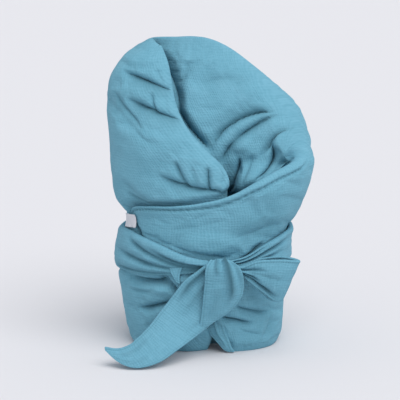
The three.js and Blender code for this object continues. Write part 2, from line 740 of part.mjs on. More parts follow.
addPiece("wrap", joined([wrapCloth(), footFloor()]), WRAP_COLOUR);
const ribbons = [LONG_TAIL, SHORT_TAIL, LOOP, SASH_CORNER].map(ribbon);
addPiece("sash", joined([belt(), knot(), ...ribbons]), SASH_COLOUR);
addPiece("label", label(), LABEL_COLOUR);

export default group;
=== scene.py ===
# %% [markdown]
# A padded swaddle wrap of crinkled double gauze, closed round an empty inside and tied with a
# sash. This lesson builds it from sheets of points: every piece of cloth is a grid that follows
# the cloth round the body and up it, so folds, hems and the weave all stay on the cloth.
# The first cell loads the solids that the wrap has to fit.

import math

import bpy
import numpy as np
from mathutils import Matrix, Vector, noise


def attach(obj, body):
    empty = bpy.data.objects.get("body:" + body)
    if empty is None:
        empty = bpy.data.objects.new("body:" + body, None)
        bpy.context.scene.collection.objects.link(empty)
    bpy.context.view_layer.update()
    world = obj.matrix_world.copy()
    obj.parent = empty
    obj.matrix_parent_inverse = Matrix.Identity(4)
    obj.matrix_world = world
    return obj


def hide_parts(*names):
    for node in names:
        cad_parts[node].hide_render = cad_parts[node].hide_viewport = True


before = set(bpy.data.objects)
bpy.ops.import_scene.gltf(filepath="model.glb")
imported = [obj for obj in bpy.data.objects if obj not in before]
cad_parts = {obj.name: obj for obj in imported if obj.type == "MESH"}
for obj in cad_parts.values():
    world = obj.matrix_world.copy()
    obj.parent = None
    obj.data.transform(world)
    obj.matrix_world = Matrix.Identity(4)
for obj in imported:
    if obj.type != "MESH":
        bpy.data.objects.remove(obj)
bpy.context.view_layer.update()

# %% [markdown]
# The camera stands where the photographer stood: low, in front and a little above the hood.
# A long lens keeps the upright sides of the wrap nearly parallel.

# %% Camera
CAMERA_PLACE = (-0.00915, -2.2, 0.67)
CAMERA_DOWN = 10.51  # degrees below the horizon
PHOTO_SIDE = 400  # pixels
FOCAL_PIXELS = 1202
SENSOR = 36.0

camera_data = bpy.data.cameras.new("camera")
camera = bpy.data.objects.new("camera", camera_data)
bpy.context.scene.collection.objects.link(camera)
camera.location = CAMERA_PLACE
camera.rotation_euler = (math.radians(90 - CAMERA_DOWN), 0, 0)
camera_data.sensor_width = SENSOR
camera_data.lens = FOCAL_PIXELS / PHOTO_SIDE * SENSOR
bpy.context.scene.camera = camera
print("lens", round(camera_data.lens, 1), "mm")

# %% [markdown]
# A maker writes a pattern in millimetres, so the tables here are in millimetres too, and MM
# turns a finished mesh into metres. A place on the wrap is a turn in degrees round the body
# (0 at the front, 90 at the left, 180 at the back, 270 at the right) and a height. The cloth
# starts at the flap's edge near turn -12, goes once round and ends at turn 428, over the flap.

# %% Tables and smooth curves through them
MM = 0.001


def table(columns, *rows):
    return dict(zip(columns.split(), np.array(rows, float).T))


def mix(a, b, t):
    return a + (b - a) * t


def rise(a, b, value):
    t = np.clip((value - a) / (b - a), 0, 1)
    return t * t * (3 - 2 * t)


def curve(rows, along, of):
    """A smooth curve through one column of a table, read at values of another."""
    at, values = rows[along], rows[of]
    step = np.diff(at)
    steps = np.diff(values) / step
    inner = (steps[:-1] * step[1:] + steps[1:] * step[:-1]) / (step[:-1] + step[1:])
    slopes = np.concatenate([steps[:1], inner, steps[-1:]])

    def read(value):
        a = np.clip(value, at[0], at[-1])
        i = np.clip(np.searchsorted(at, a) - 1, 0, len(step) - 1)
        t = (a - at[i]) / step[i]
        start = (2 * t**3 - 3 * t**2 + 1) * values[i] + (t**3 - 2 * t**2 + t) * step[i] * slopes[i]
        end = (3 * t**2 - 2 * t**3) * values[i + 1] + (t**3 - t**2) * step[i] * slopes[i + 1]
        return start + end

    return read


BODY = table(
    "height left right front back square",
    (0, -138, 141, -104, 96, 2.7),
    (35, -144, 143, -112, 104, 2.6),
    (110, -156, 148, -118, 109, 2.4),
    (165, -160, 152, -116, 107, 2.3),
    (205, -153, 154, -115, 107, 2.25),
    (225, -145, 159, -116, 108, 2.25),
    (242, -145, 169, -118, 110, 2.25),
    (270, -163, 183, -122, 115, 2.25),
    (310, -171, 194, -124, 119, 2.25),
    (350, -173, 202, -118, 118, 2.25),
    (400, -177, 204, -100, 114, 2.25),
    (440, -180, 198, -77, 109, 2.25),
    (480, -177, 168, -50, 100, 2.3),
    (515, -158, 136, -22, 88, 2.5),
    (545, -127, 109, 6, 75, 2.6),
    (562, -107, 91, 18, 67, 2.6),
)
ROLLS = table(
    "height left right front back square",
    (250, -115, 118, -20, 12, 2.25),
    (300, -125, 132, -50, -34, 2.25),
    (340, -130, 140, -60, -47, 2.25),
    (380, -130, 142, -56, -42, 2.25),
    (420, -130, 132, -42, -28, 2.25),
    (460, -126, 110, -24, -8, 2.25),
    (500, -116, 88, -2, 13, 2.25),
    (545, -88, 64, 26, 38, 2.25),
    (562, -72, 52, 36, 44, 2.25),
)
FLAP_EDGE = table(
    "height x",
    (0, 6), (20, 14), (60, 28), (120, 40), (240, 46), (293, 47), (320, 46), (345, 29),
    (371, -4), (404, -37), (424, -51), (462, -65), (496, -69), (521, -75), (546, -88),
)
RIM = table(
    "turn height",
    (40, 546), (62, 557), (100, 560), (150, 561), (185, 559), (205, 545), (222, 520),
    (236, 486), (248, 446), (258, 408), (268, 376), (282, 357), (300, 346), (322, 331),
    (338, 312), (350, 293), (363, 279), (378, 272), (400, 268), (418, 261), (428, 250),
)
CORNER_EDGE = table(
    "height turn",
    (0, 347), (20, 348.6), (60, 354.6), (118, 372), (186, 398), (250, 428),
)
FILL_HEIGHTS = {"foot": 190, "shoulder": 325, "hood": 450, "top": 545}
FILL = table(
    "turn foot shoulder hood top",
    (-14, 36, 46, 42, 24),
    (30, 36, 48, 44, 24),
    (62, 36, 46, 42, 23),
    (90, 36, 42, 40, 22),
    (120, 37, 46, 44, 24),
    (150, 38, 52, 50, 28),
    (235, 38, 56, 56, 36),
    (275, 35, 52, 50, 36),
    (296, 31, 34, 34, 34),
    (315, 24, 24, 24, 24),
    (336, 15, 15, 15, 15),
    (430, 13, 13, 13, 13),
)
BELT = table(
    "turn low top",
    (-3, 155, 174), (8, 150, 182), (30, 144, 203), (55, 143, 216), (90, 144, 217),
    (135, 147, 221), (180, 150, 224), (225, 153, 222), (270, 156, 218), (300, 158, 211),
    (320, 157, 197), (335, 156, 180), (349, 156, 172),
)
ROUND_HOOD = table(
    "turn radius",
    (40, 24), (100, 28), (150, 42), (250, 44), (280, 26), (320, 10), (430, 9),
)
COLUMNS = table(
    "share turn",
    (0, 40), (0.06, 48), (0.26, 120), (0.42, 205), (0.72, 300), (0.97, 420), (1, 428),
)
DEGREE = math.pi / 180
MEAN_RADIUS = 150  # turns one degree into a length along the cloth
FLAP_TOP, HOOD_START, CORNER_TURN = 546, 40, 428
BELOW_FLOOR, LAYER_GAP, LAYER_PROUD, FLAP_BACK = 7, 3.4, 2, 110
BELT_START, BELT_END, BELT_PRESS = -3, 349, 3.5
FLAP_FAN, CORNER_FAN, FOOT_START = 125, 236, -20
ROUND_FLAP, ROUND_CORNER, ROUND_FOOT = 30, 8, 17
COVER_FROM, COVER_TO, COVER_LEAN = -17, -3, 0.7  # where the left flap sinks under the right one

flap_edge_x = curve(FLAP_EDGE, "height", "x")
corner_edge_turn = curve(CORNER_EDGE, "height", "turn")
rim_height = curve(RIM, "turn", "height")
round_hood = curve(ROUND_HOOD, "turn", "radius")
belt_low = curve(BELT, "turn", "low")
belt_top = curve(BELT, "turn", "top")
column_turn = curve(COLUMNS, "share", "turn")
print("tables read; the hem meets the flap's side at", float(rim_height(400)), "mm")

# %% [markdown]
# The body's outline at each height is a rounded oval, a superellipse. A place is moved out or
# in by making both half axes larger or smaller, which never lets a tight corner cross itself.

# %% Places on the body
def outline_of(rows):
    sides = [curve(rows, "height", side) for side in "left right front back square".split()]

    def read(height):
        left, right, front, back, square = (side(height) for side in sides)
        middle = (left + right) / 2, (front + back) / 2
        return *middle, (right - left) / 2, (back - front) / 2, square

    return read


body_outline = outline_of(BODY)
rolls_outline = outline_of(ROLLS)


def point_on(outline, turn, height, offset):
    middle_x, middle_y, half_width, half_depth, square = outline(height)
    s, c = np.sin(turn * DEGREE), np.cos(turn * DEGREE)
    across = -np.sign(s) * np.abs(s) ** (2 / square)
    deep = -np.sign(c) * np.abs(c) ** (2 / square)
    x = middle_x + (half_width + offset) * across
    y = middle_y + (half_depth + offset) * deep
    return np.stack([x, y, height + 0 * x], -1)


def flap_edge_turn(height):
    middle_x, _, half_width, _, square = body_outline(height)
    share = np.clip((middle_x - flap_edge_x(height)) / half_width, -1, 1)
    return np.arcsin(np.sign(share) * np.abs(share) ** (square / 2)) / DEGREE


def fill_at(turn, height):
    levels = list(FILL_HEIGHTS)
    thick = curve(FILL, "turn", levels[0])(turn)
    for low, high in zip(levels, levels[1:]):
        share = rise(FILL_HEIGHTS[low], FILL_HEIGHTS[high], height)
        thick = mix(thick, curve(FILL, "turn", high)(turn), share)
    return thick


def cover_at(turn, height):
    """How far a place on the left flap is covered by the right flap, from 0 to 1."""
    over = turn + 360
    below_hem = rim_height(over) - height
    before_edge = (corner_edge_turn(height) - over) * DEGREE * MEAN_RADIUS * COVER_LEAN
    cover = rise(COVER_FROM, COVER_TO, np.minimum(below_hem, before_edge))
    return np.where(turn > FLAP_BACK, 0, cover)


def belt_zone(turn, height, outside=-16, inside=8):
    """1 where the sash lies over a place, fading to 0 outside it."""
    around = np.where(turn > BELT_END, turn - 360, turn)
    within = np.minimum(height - belt_low(around), belt_top(around) - height)
    return rise(outside, inside, within)


waist = body_outline(np.array(180.0))[2:4]
print("the waist is", [round(float(half)) for half in waist], "mm in half axes")

# %% [markdown]
# Filled cloth is thin at its edges and swells away from them. The swelling at a place is worked
# out from its distance to the nearest edge, so each edge is first drawn as a line in length
# round the body and height.

# %% Edges of the wrap and their roundness
def nearest_on(line, x, z):
    """The way from a line's nearest place, the share along the line, and the side it is on."""
    shape = np.broadcast(x, z).shape
    best = np.full(shape, np.inf)
    along, across, up = np.zeros(shape), np.zeros(shape), np.zeros(shape)
    side = np.ones(shape)
    for i, (a, b) in enumerate(zip(line, line[1:])):
        step_x, step_z = b - a
        size = max(step_x**2 + step_z**2, 1e-9)
        t = np.clip(((x - a[0]) * step_x + (z - a[1]) * step_z) / size, 0, 1)
        off_x, off_z = x - a[0] - t * step_x, z - a[1] - t * step_z
        distance = np.hypot(off_x, off_z)
        nearer = distance < best
        best = np.where(nearer, distance, best)
        along = np.where(nearer, (i + t) / (len(line) - 1), along)
        across, up = np.where(nearer, off_x, across), np.where(nearer, off_z, up)
        side = np.where(nearer, np.sign(step_x * off_z - step_z * off_x), side)
    return {"distance": best, "along": along, "side": side, "across": across, "up": up}


def roundness(distance, radius):
    t = np.clip(1 - distance / radius, 0, 1)
    return np.sqrt(1 - t * t)


EDGE_STEPS = 90
edge_share = np.linspace(0, 1, EDGE_STEPS + 1)


def edge_line(turn, height):
    return np.stack([turn * DEGREE * MEAN_RADIUS, height + 0 * turn], -1)


flap_heights = edge_share * FLAP_TOP
rim_turns = mix(HOOD_START, CORNER_TURN, edge_share)
corner_top = float(rim_height(CORNER_TURN))
corner_heights = edge_share * corner_top
foot_turns = mix(FOOT_START, corner_edge_turn(0), edge_share)
EDGES = [
    (edge_line(flap_edge_turn(flap_heights), flap_heights), ROUND_FLAP),
    (edge_line(rim_turns, rim_height(rim_turns)), round_hood),
    (edge_line(corner_edge_turn(corner_heights), corner_heights), ROUND_CORNER),
    (edge_line(foot_turns, -BELOW_FLOOR + 0 * foot_turns), ROUND_FOOT),
]


def swelling(turn, height):
    share = np.ones(np.shape(turn))
    for line, radius in EDGES:
        near = nearest_on(line, turn * DEGREE * MEAN_RADIUS, height)
        share = share * roundness(near["distance"], radius(turn) if callable(radius) else radius)
    return share


print("edges", len(EDGES))

# %% [markdown]
# The creases are placed from the photograph, in x and height as seen from the front.
# A crease in padded cloth is where two swellings meet: sharp at its line, and round on each
# side over its own width. Gathers run across a crease's end where the padding is pulled in.

# %% Creases
CREASES = """
flap   -152 497  -104 485   -44 456  15 36  20
flap    -88 508   -84 496   -76 484   8  8   4
flap   -142 455   -88 434   -24 408  16 38  20
flap   -100 468   -95 453   -90 434   8  8   7
flap    -76 462   -72 447   -66 430   8  8   4
flap   -168 466  -148 437  -112 404  20 26   9
flap   -150 420  -120 396   -76 372  20 26   4
flap    -84 326   -26 309    32 300  16 26  18
flap      6 308    24 302    34 286   9 12  12
flap    -54 352   -42 332   -26 310  10 15  11
flap    -24 344   -19 328   -14 310   9 11   4
flap      6 342     7 322    12 302  11 14  13
flap     16 356    30 336    34 306  10 10   7
flap   -146 292  -100 273   -40 270  16 20  14
flap   -150 310  -122 292   -92 278  12 16   5
inside  -90 540   -60 488   -44 424  18 18  32
inside  -50 440   -30 398    14 356  20 18  26
inside    8 360    56 410   124 431  34 10  20
inside   28 332    54 382   134 428  11 20  17
inside  120 425   134 430   150 416   8 10   8
inside   98 348   122 380   150 414  16  9  12
inside  106 314   114 338   122 374   7 18  20
inside  128 328   152 348   190 360  12 10  12
inside  146 336   160 345   178 352   7  7   9
inside   48 280    52 312    62 348  12 14  30
inside   74 296    82 330    84 356  18 18   5
inside  -20 470    30 486    84 480  40 50   5
inside  -50 470   -34 500   -30 520  30 34   5
front   -70 226   -12 237    46 250  26 22   3
front    44 214    96 224   146 244  20 26   4
front    64 172    82 182   104 200  10 12  14
front   -60 200   -10 186    50 178  14 10   5
front    26  70    58  65    88  53   9 20  14
front    54  90    86  79   116  70   9 16  10
front    60  46    84  36   104  30  12 14   3
front   120  62   116  40   104  20  14 16   4
flap   -142 136   -92 137   -44 142   6 26  22
flap   -142 110  -112 112   -88 116  12 14   5
flap   -124  76   -90  90   -46 103  10 20  18
flap   -112  44   -80  50   -50  58  14 16   4
back   -120 285   -20 262    90 296  26 30   9
back    -90 120    10 136   100 108   24 26   8
back     30 470   -10 420   -95 395   30 34  10
back    100 440    60 400    20 372   28 30   6
back   -130 340   -60 322    10 330   22 26   5
back     20 250    80 240   140 252   20 24   6
back   -110  70   -30  64    60  80   22 24   5
"""
LAYERS = {"flap": (-40, 118), "front": (262, 440), "back": (100, 268), "inside": (118, 296)}
LAYER_SOFT = 14  # degrees over which creases fade at the ends of their layer
CREASE_STEPS = 12
CREASE_FADE = 0.3  # the share of a crease's length over which it fades at each end
CREASE_SOFT = 1.6  # a crease's bottom is rounded by this much
DEEP_FOLD = 16.0  # a crease this deep gets the full painted shade in the material
OVERHANG = 0.3  # how far the steep side hangs over a crease, as a share of its depth


def dent(distance, width):
    """The share of a crease's depth: 1 on its line, 0 at its width, with a round shoulder."""
    near = np.sqrt(distance**2 + CREASE_SOFT**2)
    whole = 1 - roundness(CREASE_SOFT, width + CREASE_SOFT)
    return (1 - roundness(near, width + CREASE_SOFT)) / whole


def crease_line(x0, z0, x1, z1, x2, z2):
    """A smooth bend from a start through a middle to an end."""
    t = np.linspace(0, 1, CREASE_STEPS + 1)[:, None]
    start, middle, end = np.array([x0, z0]), np.array([x1, z1]), np.array([x2, z2])
    handle = 2 * middle - (start + end) / 2
    return (1 - t) ** 2 * start + 2 * t * (1 - t) * handle + t**2 * end


def read_creases(text):
    rows = []
    for row in text.strip().splitlines():
        layer, *numbers = row.split()
        *line, above, below, depth = map(float, numbers)
        rows.append((layer, crease_line(*line), above, below, depth))
    return rows


creases = read_creases(CREASES)


def creased(layers, turn, x, height):
    """A place's depth in the creases, how far it is drawn over them, and its share of a fold, which
    sets the painted shade in folds.
    """
    depth, over_x, over_z, fold = (np.zeros(np.shape(x)) for _ in range(4))
    for layer, line, above, below, deep in creases:
        if layer not in layers:
            continue
        first, last = LAYERS[layer]
        within = rise(first, first + LAYER_SOFT, turn) * rise(last, last - LAYER_SOFT, turn)
        near = nearest_on(line, x, height)
        distance, along = near["distance"], near["along"]
        leftward = line[-1][0] < line[0][0]
        upper = near["side"] < 0 if leftward else near["side"] > 0
        fade = within * np.sqrt(rise(0, CREASE_FADE, along) * rise(0, CREASE_FADE, 1 - along))
        width = np.where(upper, above, below) * (0.45 + 0.55 * fade)
        share = fade * dent(distance, width)
        depth = depth + deep * share
        fold = np.maximum(fold, share * min(deep / DEEP_FOLD, 1))
        steep = upper if above < below else ~upper
        reach = rise(0, 3, distance) * rise(2.2 * min(above, below), 3, distance)
        pull = -OVERHANG * deep * fade * steep * reach / np.maximum(distance, 0.5)
        over_x, over_z = over_x + pull * near["across"], over_z + pull * near["up"]
    return depth, over_x, over_z, fold


print("creases", len(creases))

# %% [markdown]
# The right flap's upper edge is hemmed: the cloth is turned over and stitched, so there is a
# flat band along the edge and the padding starts only behind the stitching. Soft unevenness
# of the wadding, and puckers that run away from the stitching, come from smooth noise.

# %% Hem band and unevenness
HEM_BAND = table(
    "turn width",
    (286, 6), (306, 13), (330, 14), (352, 12), (372, 8), (392, 6), (420, 5), (428, 5),
)
HEM_GROOVE, HEM_GROOVE_WIDTH = 3.6, 4.6
PUCKER_PITCH = 9.0
hem_band = curve(HEM_BAND, "turn", "width")
BULGES = """
inside   98 292   66 58   44
inside  150 380   40 34    8
inside   62 372   30 20    6
front    10 204   70 26    7
front   100 300   60 30    4
flap   -100 375   60 46    6
flap   -110 470   40 20    5
flap   -118 525   40 18    5
flap    -20 280   60 12    5
flap    -90 118   46 12    5
front    90  95   40 12    4
"""


GROOVE_STARTS = (286, 302)  # the turns over which the stitched groove sets in


def hem_depth(turn, height):
    """The groove of the hem's stitching, with puckers that run away from it."""
    behind = rim_height(turn) - height - hem_band(turn)
    along = 2 * np.pi * turn * DEGREE * MEAN_RADIUS / PUCKER_PITCH
    pucker = 1 + 0.45 * np.sin(along + 3 * np.sin(turn / 7))
    width = HEM_GROOVE_WIDTH * (0.7 + 0.5 * pucker)
    return rise(*GROOVE_STARTS, turn) * HEM_GROOVE * pucker * dent(np.abs(behind), width)


def bulge(layers, turn, x, height):
    """Soft swellings, listed: layer, middle x and height, half sizes, and how far out."""
    out = np.zeros(np.shape(x))
    for row in BULGES.strip().splitlines():
        layer, *numbers = row.split()
        if layer not in layers:
            continue
        middle_x, middle_z, half_x, half_z, far = map(float, numbers)
        first, last = LAYERS[layer]
        within = rise(first, first + LAYER_SOFT, turn) * rise(last, last - LAYER_SOFT, turn)
        reach = np.hypot((x - middle_x) / half_x, (height - middle_z) / half_z)
        out = out + far * within * rise(1, 0.25, reach)
    return out


def smooth_noise(points, size, seed):
    """Smooth noise from -1 to 1 at points in millimetres, in lumps of this size."""
    shift = Vector((seed * 17.3, seed * 5.1, seed * 11.7))
    size = np.broadcast_to(size, 3)
    values = [noise.noise(Vector(point / size) + shift) for point in points.reshape(-1, 3)]
    return np.array(values).reshape(points.shape[:-1])


def lumps(points, layers):
    """The wadding's unevenness, from layers of noise: how high, how large, and a seed."""
    return sum(high * smooth_noise(points, size, seed) for high, size, seed in layers)


print("hem band at the front", float(hem_band(352.0)), "mm")

# %% [markdown]
# Now the wrap's two faces can be worked out for any turn and height. The inner face of the
# hood follows a second outline, because the corner of the square is turned in there and lies
# in rolls behind the opening.

# %% Faces of the wrap
OUTER_LUMPS = ((2.6, 46, 1), (1.2, (30, 30, 17), 2))
INNER_LUMPS = ((2.2, 50, 3), (1.0, (28, 30, 19), 4))
LUMPS_SUNK = 1.2  # the lumps start this far below the even surface
ROLLS_FROM, ROLLS_TO, ROLLS_UP = (122, 174), (302, 266), (205, 300)  # two turns and a height


def outside_at(turn, height):
    under = fill_at(turn + 360, height) + LAYER_GAP
    proud = LAYER_PROUD * rise(318, 345, turn)
    return proud - cover_at(turn, height) * under - BELT_PRESS * belt_zone(turn, height)


def wrap_faces(turn, height, detail=True):
    outside = outside_at(turn, height)
    outer = point_on(body_outline, turn, height, outside)
    inner = point_on(body_outline, turn, height, outside - fill_at(turn, height))
    rolled = rise(*ROLLS_FROM, turn) * rise(*ROLLS_TO, turn) * rise(*ROLLS_UP, height)
    inner = mix(inner, point_on(rolls_outline, turn, height, 0), rolled[..., None])
    centre = (outer + inner) / 2
    span = outer - inner
    thick = np.linalg.norm(span, axis=-1)
    way = span / thick[..., None]
    held = swelling(turn, height)
    out = thick / 2 * held
    back = thick / 2 * held
    folds = (0 * thick, 0 * thick)
    if detail:
        free = (1 - cover_at(turn, height)) * held
        quiet = 1 - 0.9 * belt_zone(turn, height, -6, 4)
        seen = ("flap", "front", "back")
        deep, *outer_over, outer_fold = creased(seen, turn, outer[..., 0], height)
        groove = hem_depth(turn, height)
        out = out + (bulge(seen, turn, outer[..., 0], height) - groove - deep) * free
        deep, *inner_over, inner_fold = creased(("inside",), turn, inner[..., 0], height)
        back = back - deep * held
        # The shares of a fold, with the hem's stitched groove at half weight, become painted shade
        # in the material; they also hold the cloth while it swells.
        folds = (np.maximum(outer_fold, groove / HEM_GROOVE * 0.5) * free, inner_fold * held)
        back = back + bulge(("inside",), turn, inner[..., 0], height) * held
        quiet = held * quiet * (1 - 0.8 * cover_at(turn, height))
        out = out + (lumps(outer, OUTER_LUMPS) - LUMPS_SUNK) * quiet
        back = back + (lumps(inner, INNER_LUMPS) - LUMPS_SUNK) * held
    outer_up = np.maximum(height, 0)
    inner_up = outer_up
    outer = centre + way * out[..., None]
    inner = centre - way * back[..., None]
    if detail:
        flat = np.abs(way[..., 1]) * rise(0, 12, height)
        outer[..., 0] += outer_over[0] * flat * free
        inner[..., 0] += inner_over[0] * flat * held
        outer_up = outer_up + outer_over[1] * flat * free
        inner_up = inner_up + inner_over[1] * flat * held
    outer[..., 2] = outer_up
    inner[..., 2] = inner_up
    return outer, inner, folds


WRAP_COLUMNS, WRAP_ROWS = 296, 168
ROWS_CLOSER = 0.4


def wrap_places(columns, rows):
    u = np.linspace(0, 1, columns + 1)[:, None]
    v = np.linspace(0, 1, rows + 1)[None, :]
    column = column_turn(u)
    above_floor = np.maximum((v * rows - 1) / (rows - 1), 0)
    up = above_floor - ROWS_CLOSER * np.sin(2 * np.pi * above_floor) / (2 * np.pi)
    height = np.where(v == 0, -BELOW_FLOOR, rim_height(column) * up)
    flap_lean = rise(FLAP_FAN, HOOD_START, column) * (flap_edge_turn(height) - HOOD_START)
    corner_lean = corner_edge_turn(corner_top * up) - CORNER_TURN
    corner_lean = rise(CORNER_FAN, CORNER_TURN, column) * corner_lean
    return column + flap_lean + corner_lean, height


turns, heights = wrap_places(WRAP_COLUMNS, WRAP_ROWS)
wrap_outer, wrap_inner, wrap_folds = wrap_faces(turns, heights)
print("wrap places", turns.shape)

# %% [markdown]
# A pillow mesh is two grids of points that share their border. Its map of the weave is in
# metres along the cloth, so one material shows the same weave on every piece.

# %% Pillow meshes
# The weave's map, and the attribute that carries painted shade in folds and grooves.
WEAVE_MAP, FOLD_SHADE_MAP = "weave", "fold"


WEAVE_LEAN = table("turn lean", (-14, -30), (80, -28), (150, 12), (270, 12), (330, -12), (428, -12))
weave_lean = curve(WEAVE_LEAN, "turn", "lean")


def weave_across(turn, height):
    """The weave's place round the body; the square lies at a slant, so its threads lean."""
    return turn * DEGREE * MEAN_RADIUS + np.tan(weave_lean(turn) * DEGREE) * (height - 300)


def new_object(name, points, faces, uvs, folds=None):
    """A smooth mesh; the map and the share of a fold, which sets its painted shade, are given for
    each point.
    """
    mesh = bpy.data.meshes.new(name)
    mesh.from_pydata((points * MM).tolist(), [], faces)
    corners = np.concatenate([np.ravel(face) for face in faces])
    layer = mesh.uv_layers.new(name=WEAVE_MAP)
    layer.data.foreach_set("uv", (uvs[corners] * MM).astype(np.float32).ravel())
    mesh.polygons.foreach_set("use_smooth", np.ones(len(faces), bool))
    if folds is not None:
        # The share of a fold is stored so the material can paint shade in folds and grooves.
        layer = mesh.attributes.new(FOLD_SHADE_MAP, "FLOAT", "POINT")
        layer.data.foreach_set("value", np.clip(folds, 0, 1).astype(np.float32))
    mesh.update()
    piece = bpy.data.objects.new(name, mesh)
    bpy.context.scene.collection.objects.link(piece)
    print(name, "faces", len(faces))
    return piece


def pillow_grid(columns, rows):
    """The point numbers of both faces, which share their border, the inner places, the quads."""
    number = np.arange((columns + 1) * (rows + 1)).reshape(columns + 1, rows + 1)
    inside = np.zeros(number.shape, bool)
    inside[1:-1, 1:-1] = True
    other = number.copy()
    other[inside] = number.size + np.arange(inside.sum())

    def quads(grid, turned):
        a, b, c, d = grid[:-1, :-1], grid[:-1, 1:], grid[1:, 1:], grid[1:, :-1]
        return np.stack((a, d, c, b) if turned else (a, b, c, d), -1).reshape(-1, 4)

    faces = np.concatenate([quads(number, False), quads(other, True)])
    return number, other, inside, faces.tolist()


def pillow(name, outer, inner, along, across, folds=(0, 0)):
    """A closed piece of two grids; along and across are the weave's places, in millimetres, and
    folds are the shares of painted fold shade on its two faces.
    """
    _, _, inside, faces = pillow_grid(outer.shape[0] - 1, outer.shape[1] - 1)
    first = np.where(inside[..., None], outer, (outer + inner) / 2).reshape(-1, 3)
    points = np.concatenate([first, inner[inside]])
    weave = np.stack([along + 0 * across, across + 0 * along], -1)
    front, back = (side + np.zeros(inside.shape) for side in folds)
    weave = np.concatenate([weave.reshape(-1, 2), weave[inside]])
    return new_object(name, points, faces, weave, np.concatenate([front.ravel(), back[inside]]))


# %% [markdown]
# The folds are drawn, but the cloth between them has to look blown up by its wadding. So a
# coarser copy is swelled by a cloth simulation: the folds, the edges and what lies under the
# sash are held, pressure fills the rest, and a little spare cloth crinkles. How far each place
# moved, never more than a few millimetres, is then added to the fine grids.

# %% Swell the padding
SWELL_STEP = 2  # one simulated place for so many of the fine grid's
SWELL_FRAMES = 20
SWELL_CAP = 7.0
SPARE_CLOTH = 0.02
SWELL_CLOTH = {
    "quality": 6, "mass": 0.25, "use_pressure": True, "uniform_pressure_force": 4.0,
    "shrink_min": -SPARE_CLOTH, "tension_stiffness": 12, "compression_stiffness": 12,
    "shear_stiffness": 4, "bending_stiffness": 0.15, "vertex_group_mass": "held",
}


def held_share(turn, height, fold):
    """1 where the cloth can't move in the simulation, 0 where it is free."""
    edge = 1 - rise(0.6, 0.95, swelling(turn, height))
    covered = np.maximum(cover_at(turn, height), belt_zone(turn, height, -8, 2))
    hem = rise(286, 300, turn) * rise(26, 18, rim_height(turn) - height)
    return np.maximum.reduce([rise(0.1, 0.4, fold), edge, covered, hem, rise(14, 4, height)])


def swelled(outer, inner, folds, turn, height):
    step = slice(None, None, SWELL_STEP)
    small_outer, small_inner = outer[step, step], inner[step, step]
    small_turn, small_height = turn[step, step], height[step, step]
    number, other, inside, faces = pillow_grid(small_outer.shape[0] - 1, small_outer.shape[1] - 1)
    first = np.where(inside[..., None], small_outer, (small_outer + small_inner) / 2)
    points = np.concatenate([first.reshape(-1, 3), small_inner[inside]])
    piece = new_object("swelling", points, faces, np.zeros((len(points), 2)))
    held_outer, held_inner = (
        held_share(small_turn, small_height, fold[step, step]) for fold in folds
    )
    held = np.concatenate([np.where(inside, held_outer, 1).ravel(), held_inner[inside]])
    group = piece.vertex_groups.new(name="held")
    for index, share in enumerate(held):
        group.add([index], float(share), "REPLACE")
    cloth = piece.modifiers.new("cloth", "CLOTH")
    for setting, value in SWELL_CLOTH.items():
        setattr(cloth.settings, setting, value)
    cloth.settings.effector_weights.gravity = 0
    cloth.collision_settings.use_collision = False
    cloth.point_cache.frame_start = 1
    cloth.point_cache.frame_end = SWELL_FRAMES
    for frame_number in range(1, SWELL_FRAMES + 1):
        bpy.context.scene.frame_set(frame_number)
    shaped = piece.evaluated_get(bpy.context.evaluated_depsgraph_get()).data
    moved = np.empty(len(points) * 3, np.float32)
    shaped.vertices.foreach_get("co", moved)
    moved = moved.reshape(-1, 3) / MM - points
    far = np.linalg.norm(moved, axis=-1, keepdims=True)
    moved = moved * SWELL_CAP * np.tanh(far / SWELL_CAP) / np.maximum(far, 1e-6)
    print("swelled by", round(float(far.mean()), 2), "mm, at most", round(float(far.max()), 1))
    bpy.context.scene.frame_set(1)
    bpy.data.objects.remove(piece)
    return outer + finer(moved[number], turn.shape), inner + finer(moved[other], turn.shape)


def finer(coarse, shape):
    """A coarse grid of moves, read at every place of the fine grid."""
    across = np.minimum(np.arange(shape[0]) / SWELL_STEP, coarse.shape[0] - 1)
    up = np.minimum(np.arange(shape[1]) / SWELL_STEP, coarse.shape[1] - 1)
    i = np.minimum(across.astype(int), coarse.shape[0] - 2)
    j = np.minimum(up.astype(int), coarse.shape[1] - 2)
    s, t = (across - i)[:, None, None], (up - j)[None, :, None]
    near = mix(coarse[i][:, j], coarse[i][:, j + 1], t)
    return mix(near, mix(coarse[i + 1][:, j], coarse[i + 1][:, j + 1], t), s)


wrap_outer, wrap_inner = swelled(wrap_outer, wrap_inner, wrap_folds, turns, heights)
wrap_outer[..., 2] = np.maximum(wrap_outer[..., 2], 0)
wrap_inner[..., 2] = np.maximum(wrap_inner[..., 2], 0)
weave_turns = weave_across(turns, heights)
wrap = pillow("wrap_cloth", wrap_outer, wrap_inner, weave_turns, heights, wrap_folds)

# %% [markdown]
# The foot of the square is folded in under the body. From above, through the mouth, only a
# padded floor shows, so it is a low cushion between the walls.

# %% Padded floor
FLOOR_TOP, FLOOR_INSET = 24, 22
FLOOR_RINGS, FLOOR_SIDES = 14, 96
GAP_TURN, GAP_INSET = -10, 30  # at the front, where the flaps part, the floor lies further in


FLOOR_LUMPS = ((1.6, 38, 9),)
FLOOR_HOLE = 0.02  # the innermost ring's share of the way to the rim
FLOOR_REACH, FLOOR_ROUND = 100, 14  # from the middle to the rim, and how round its edge is


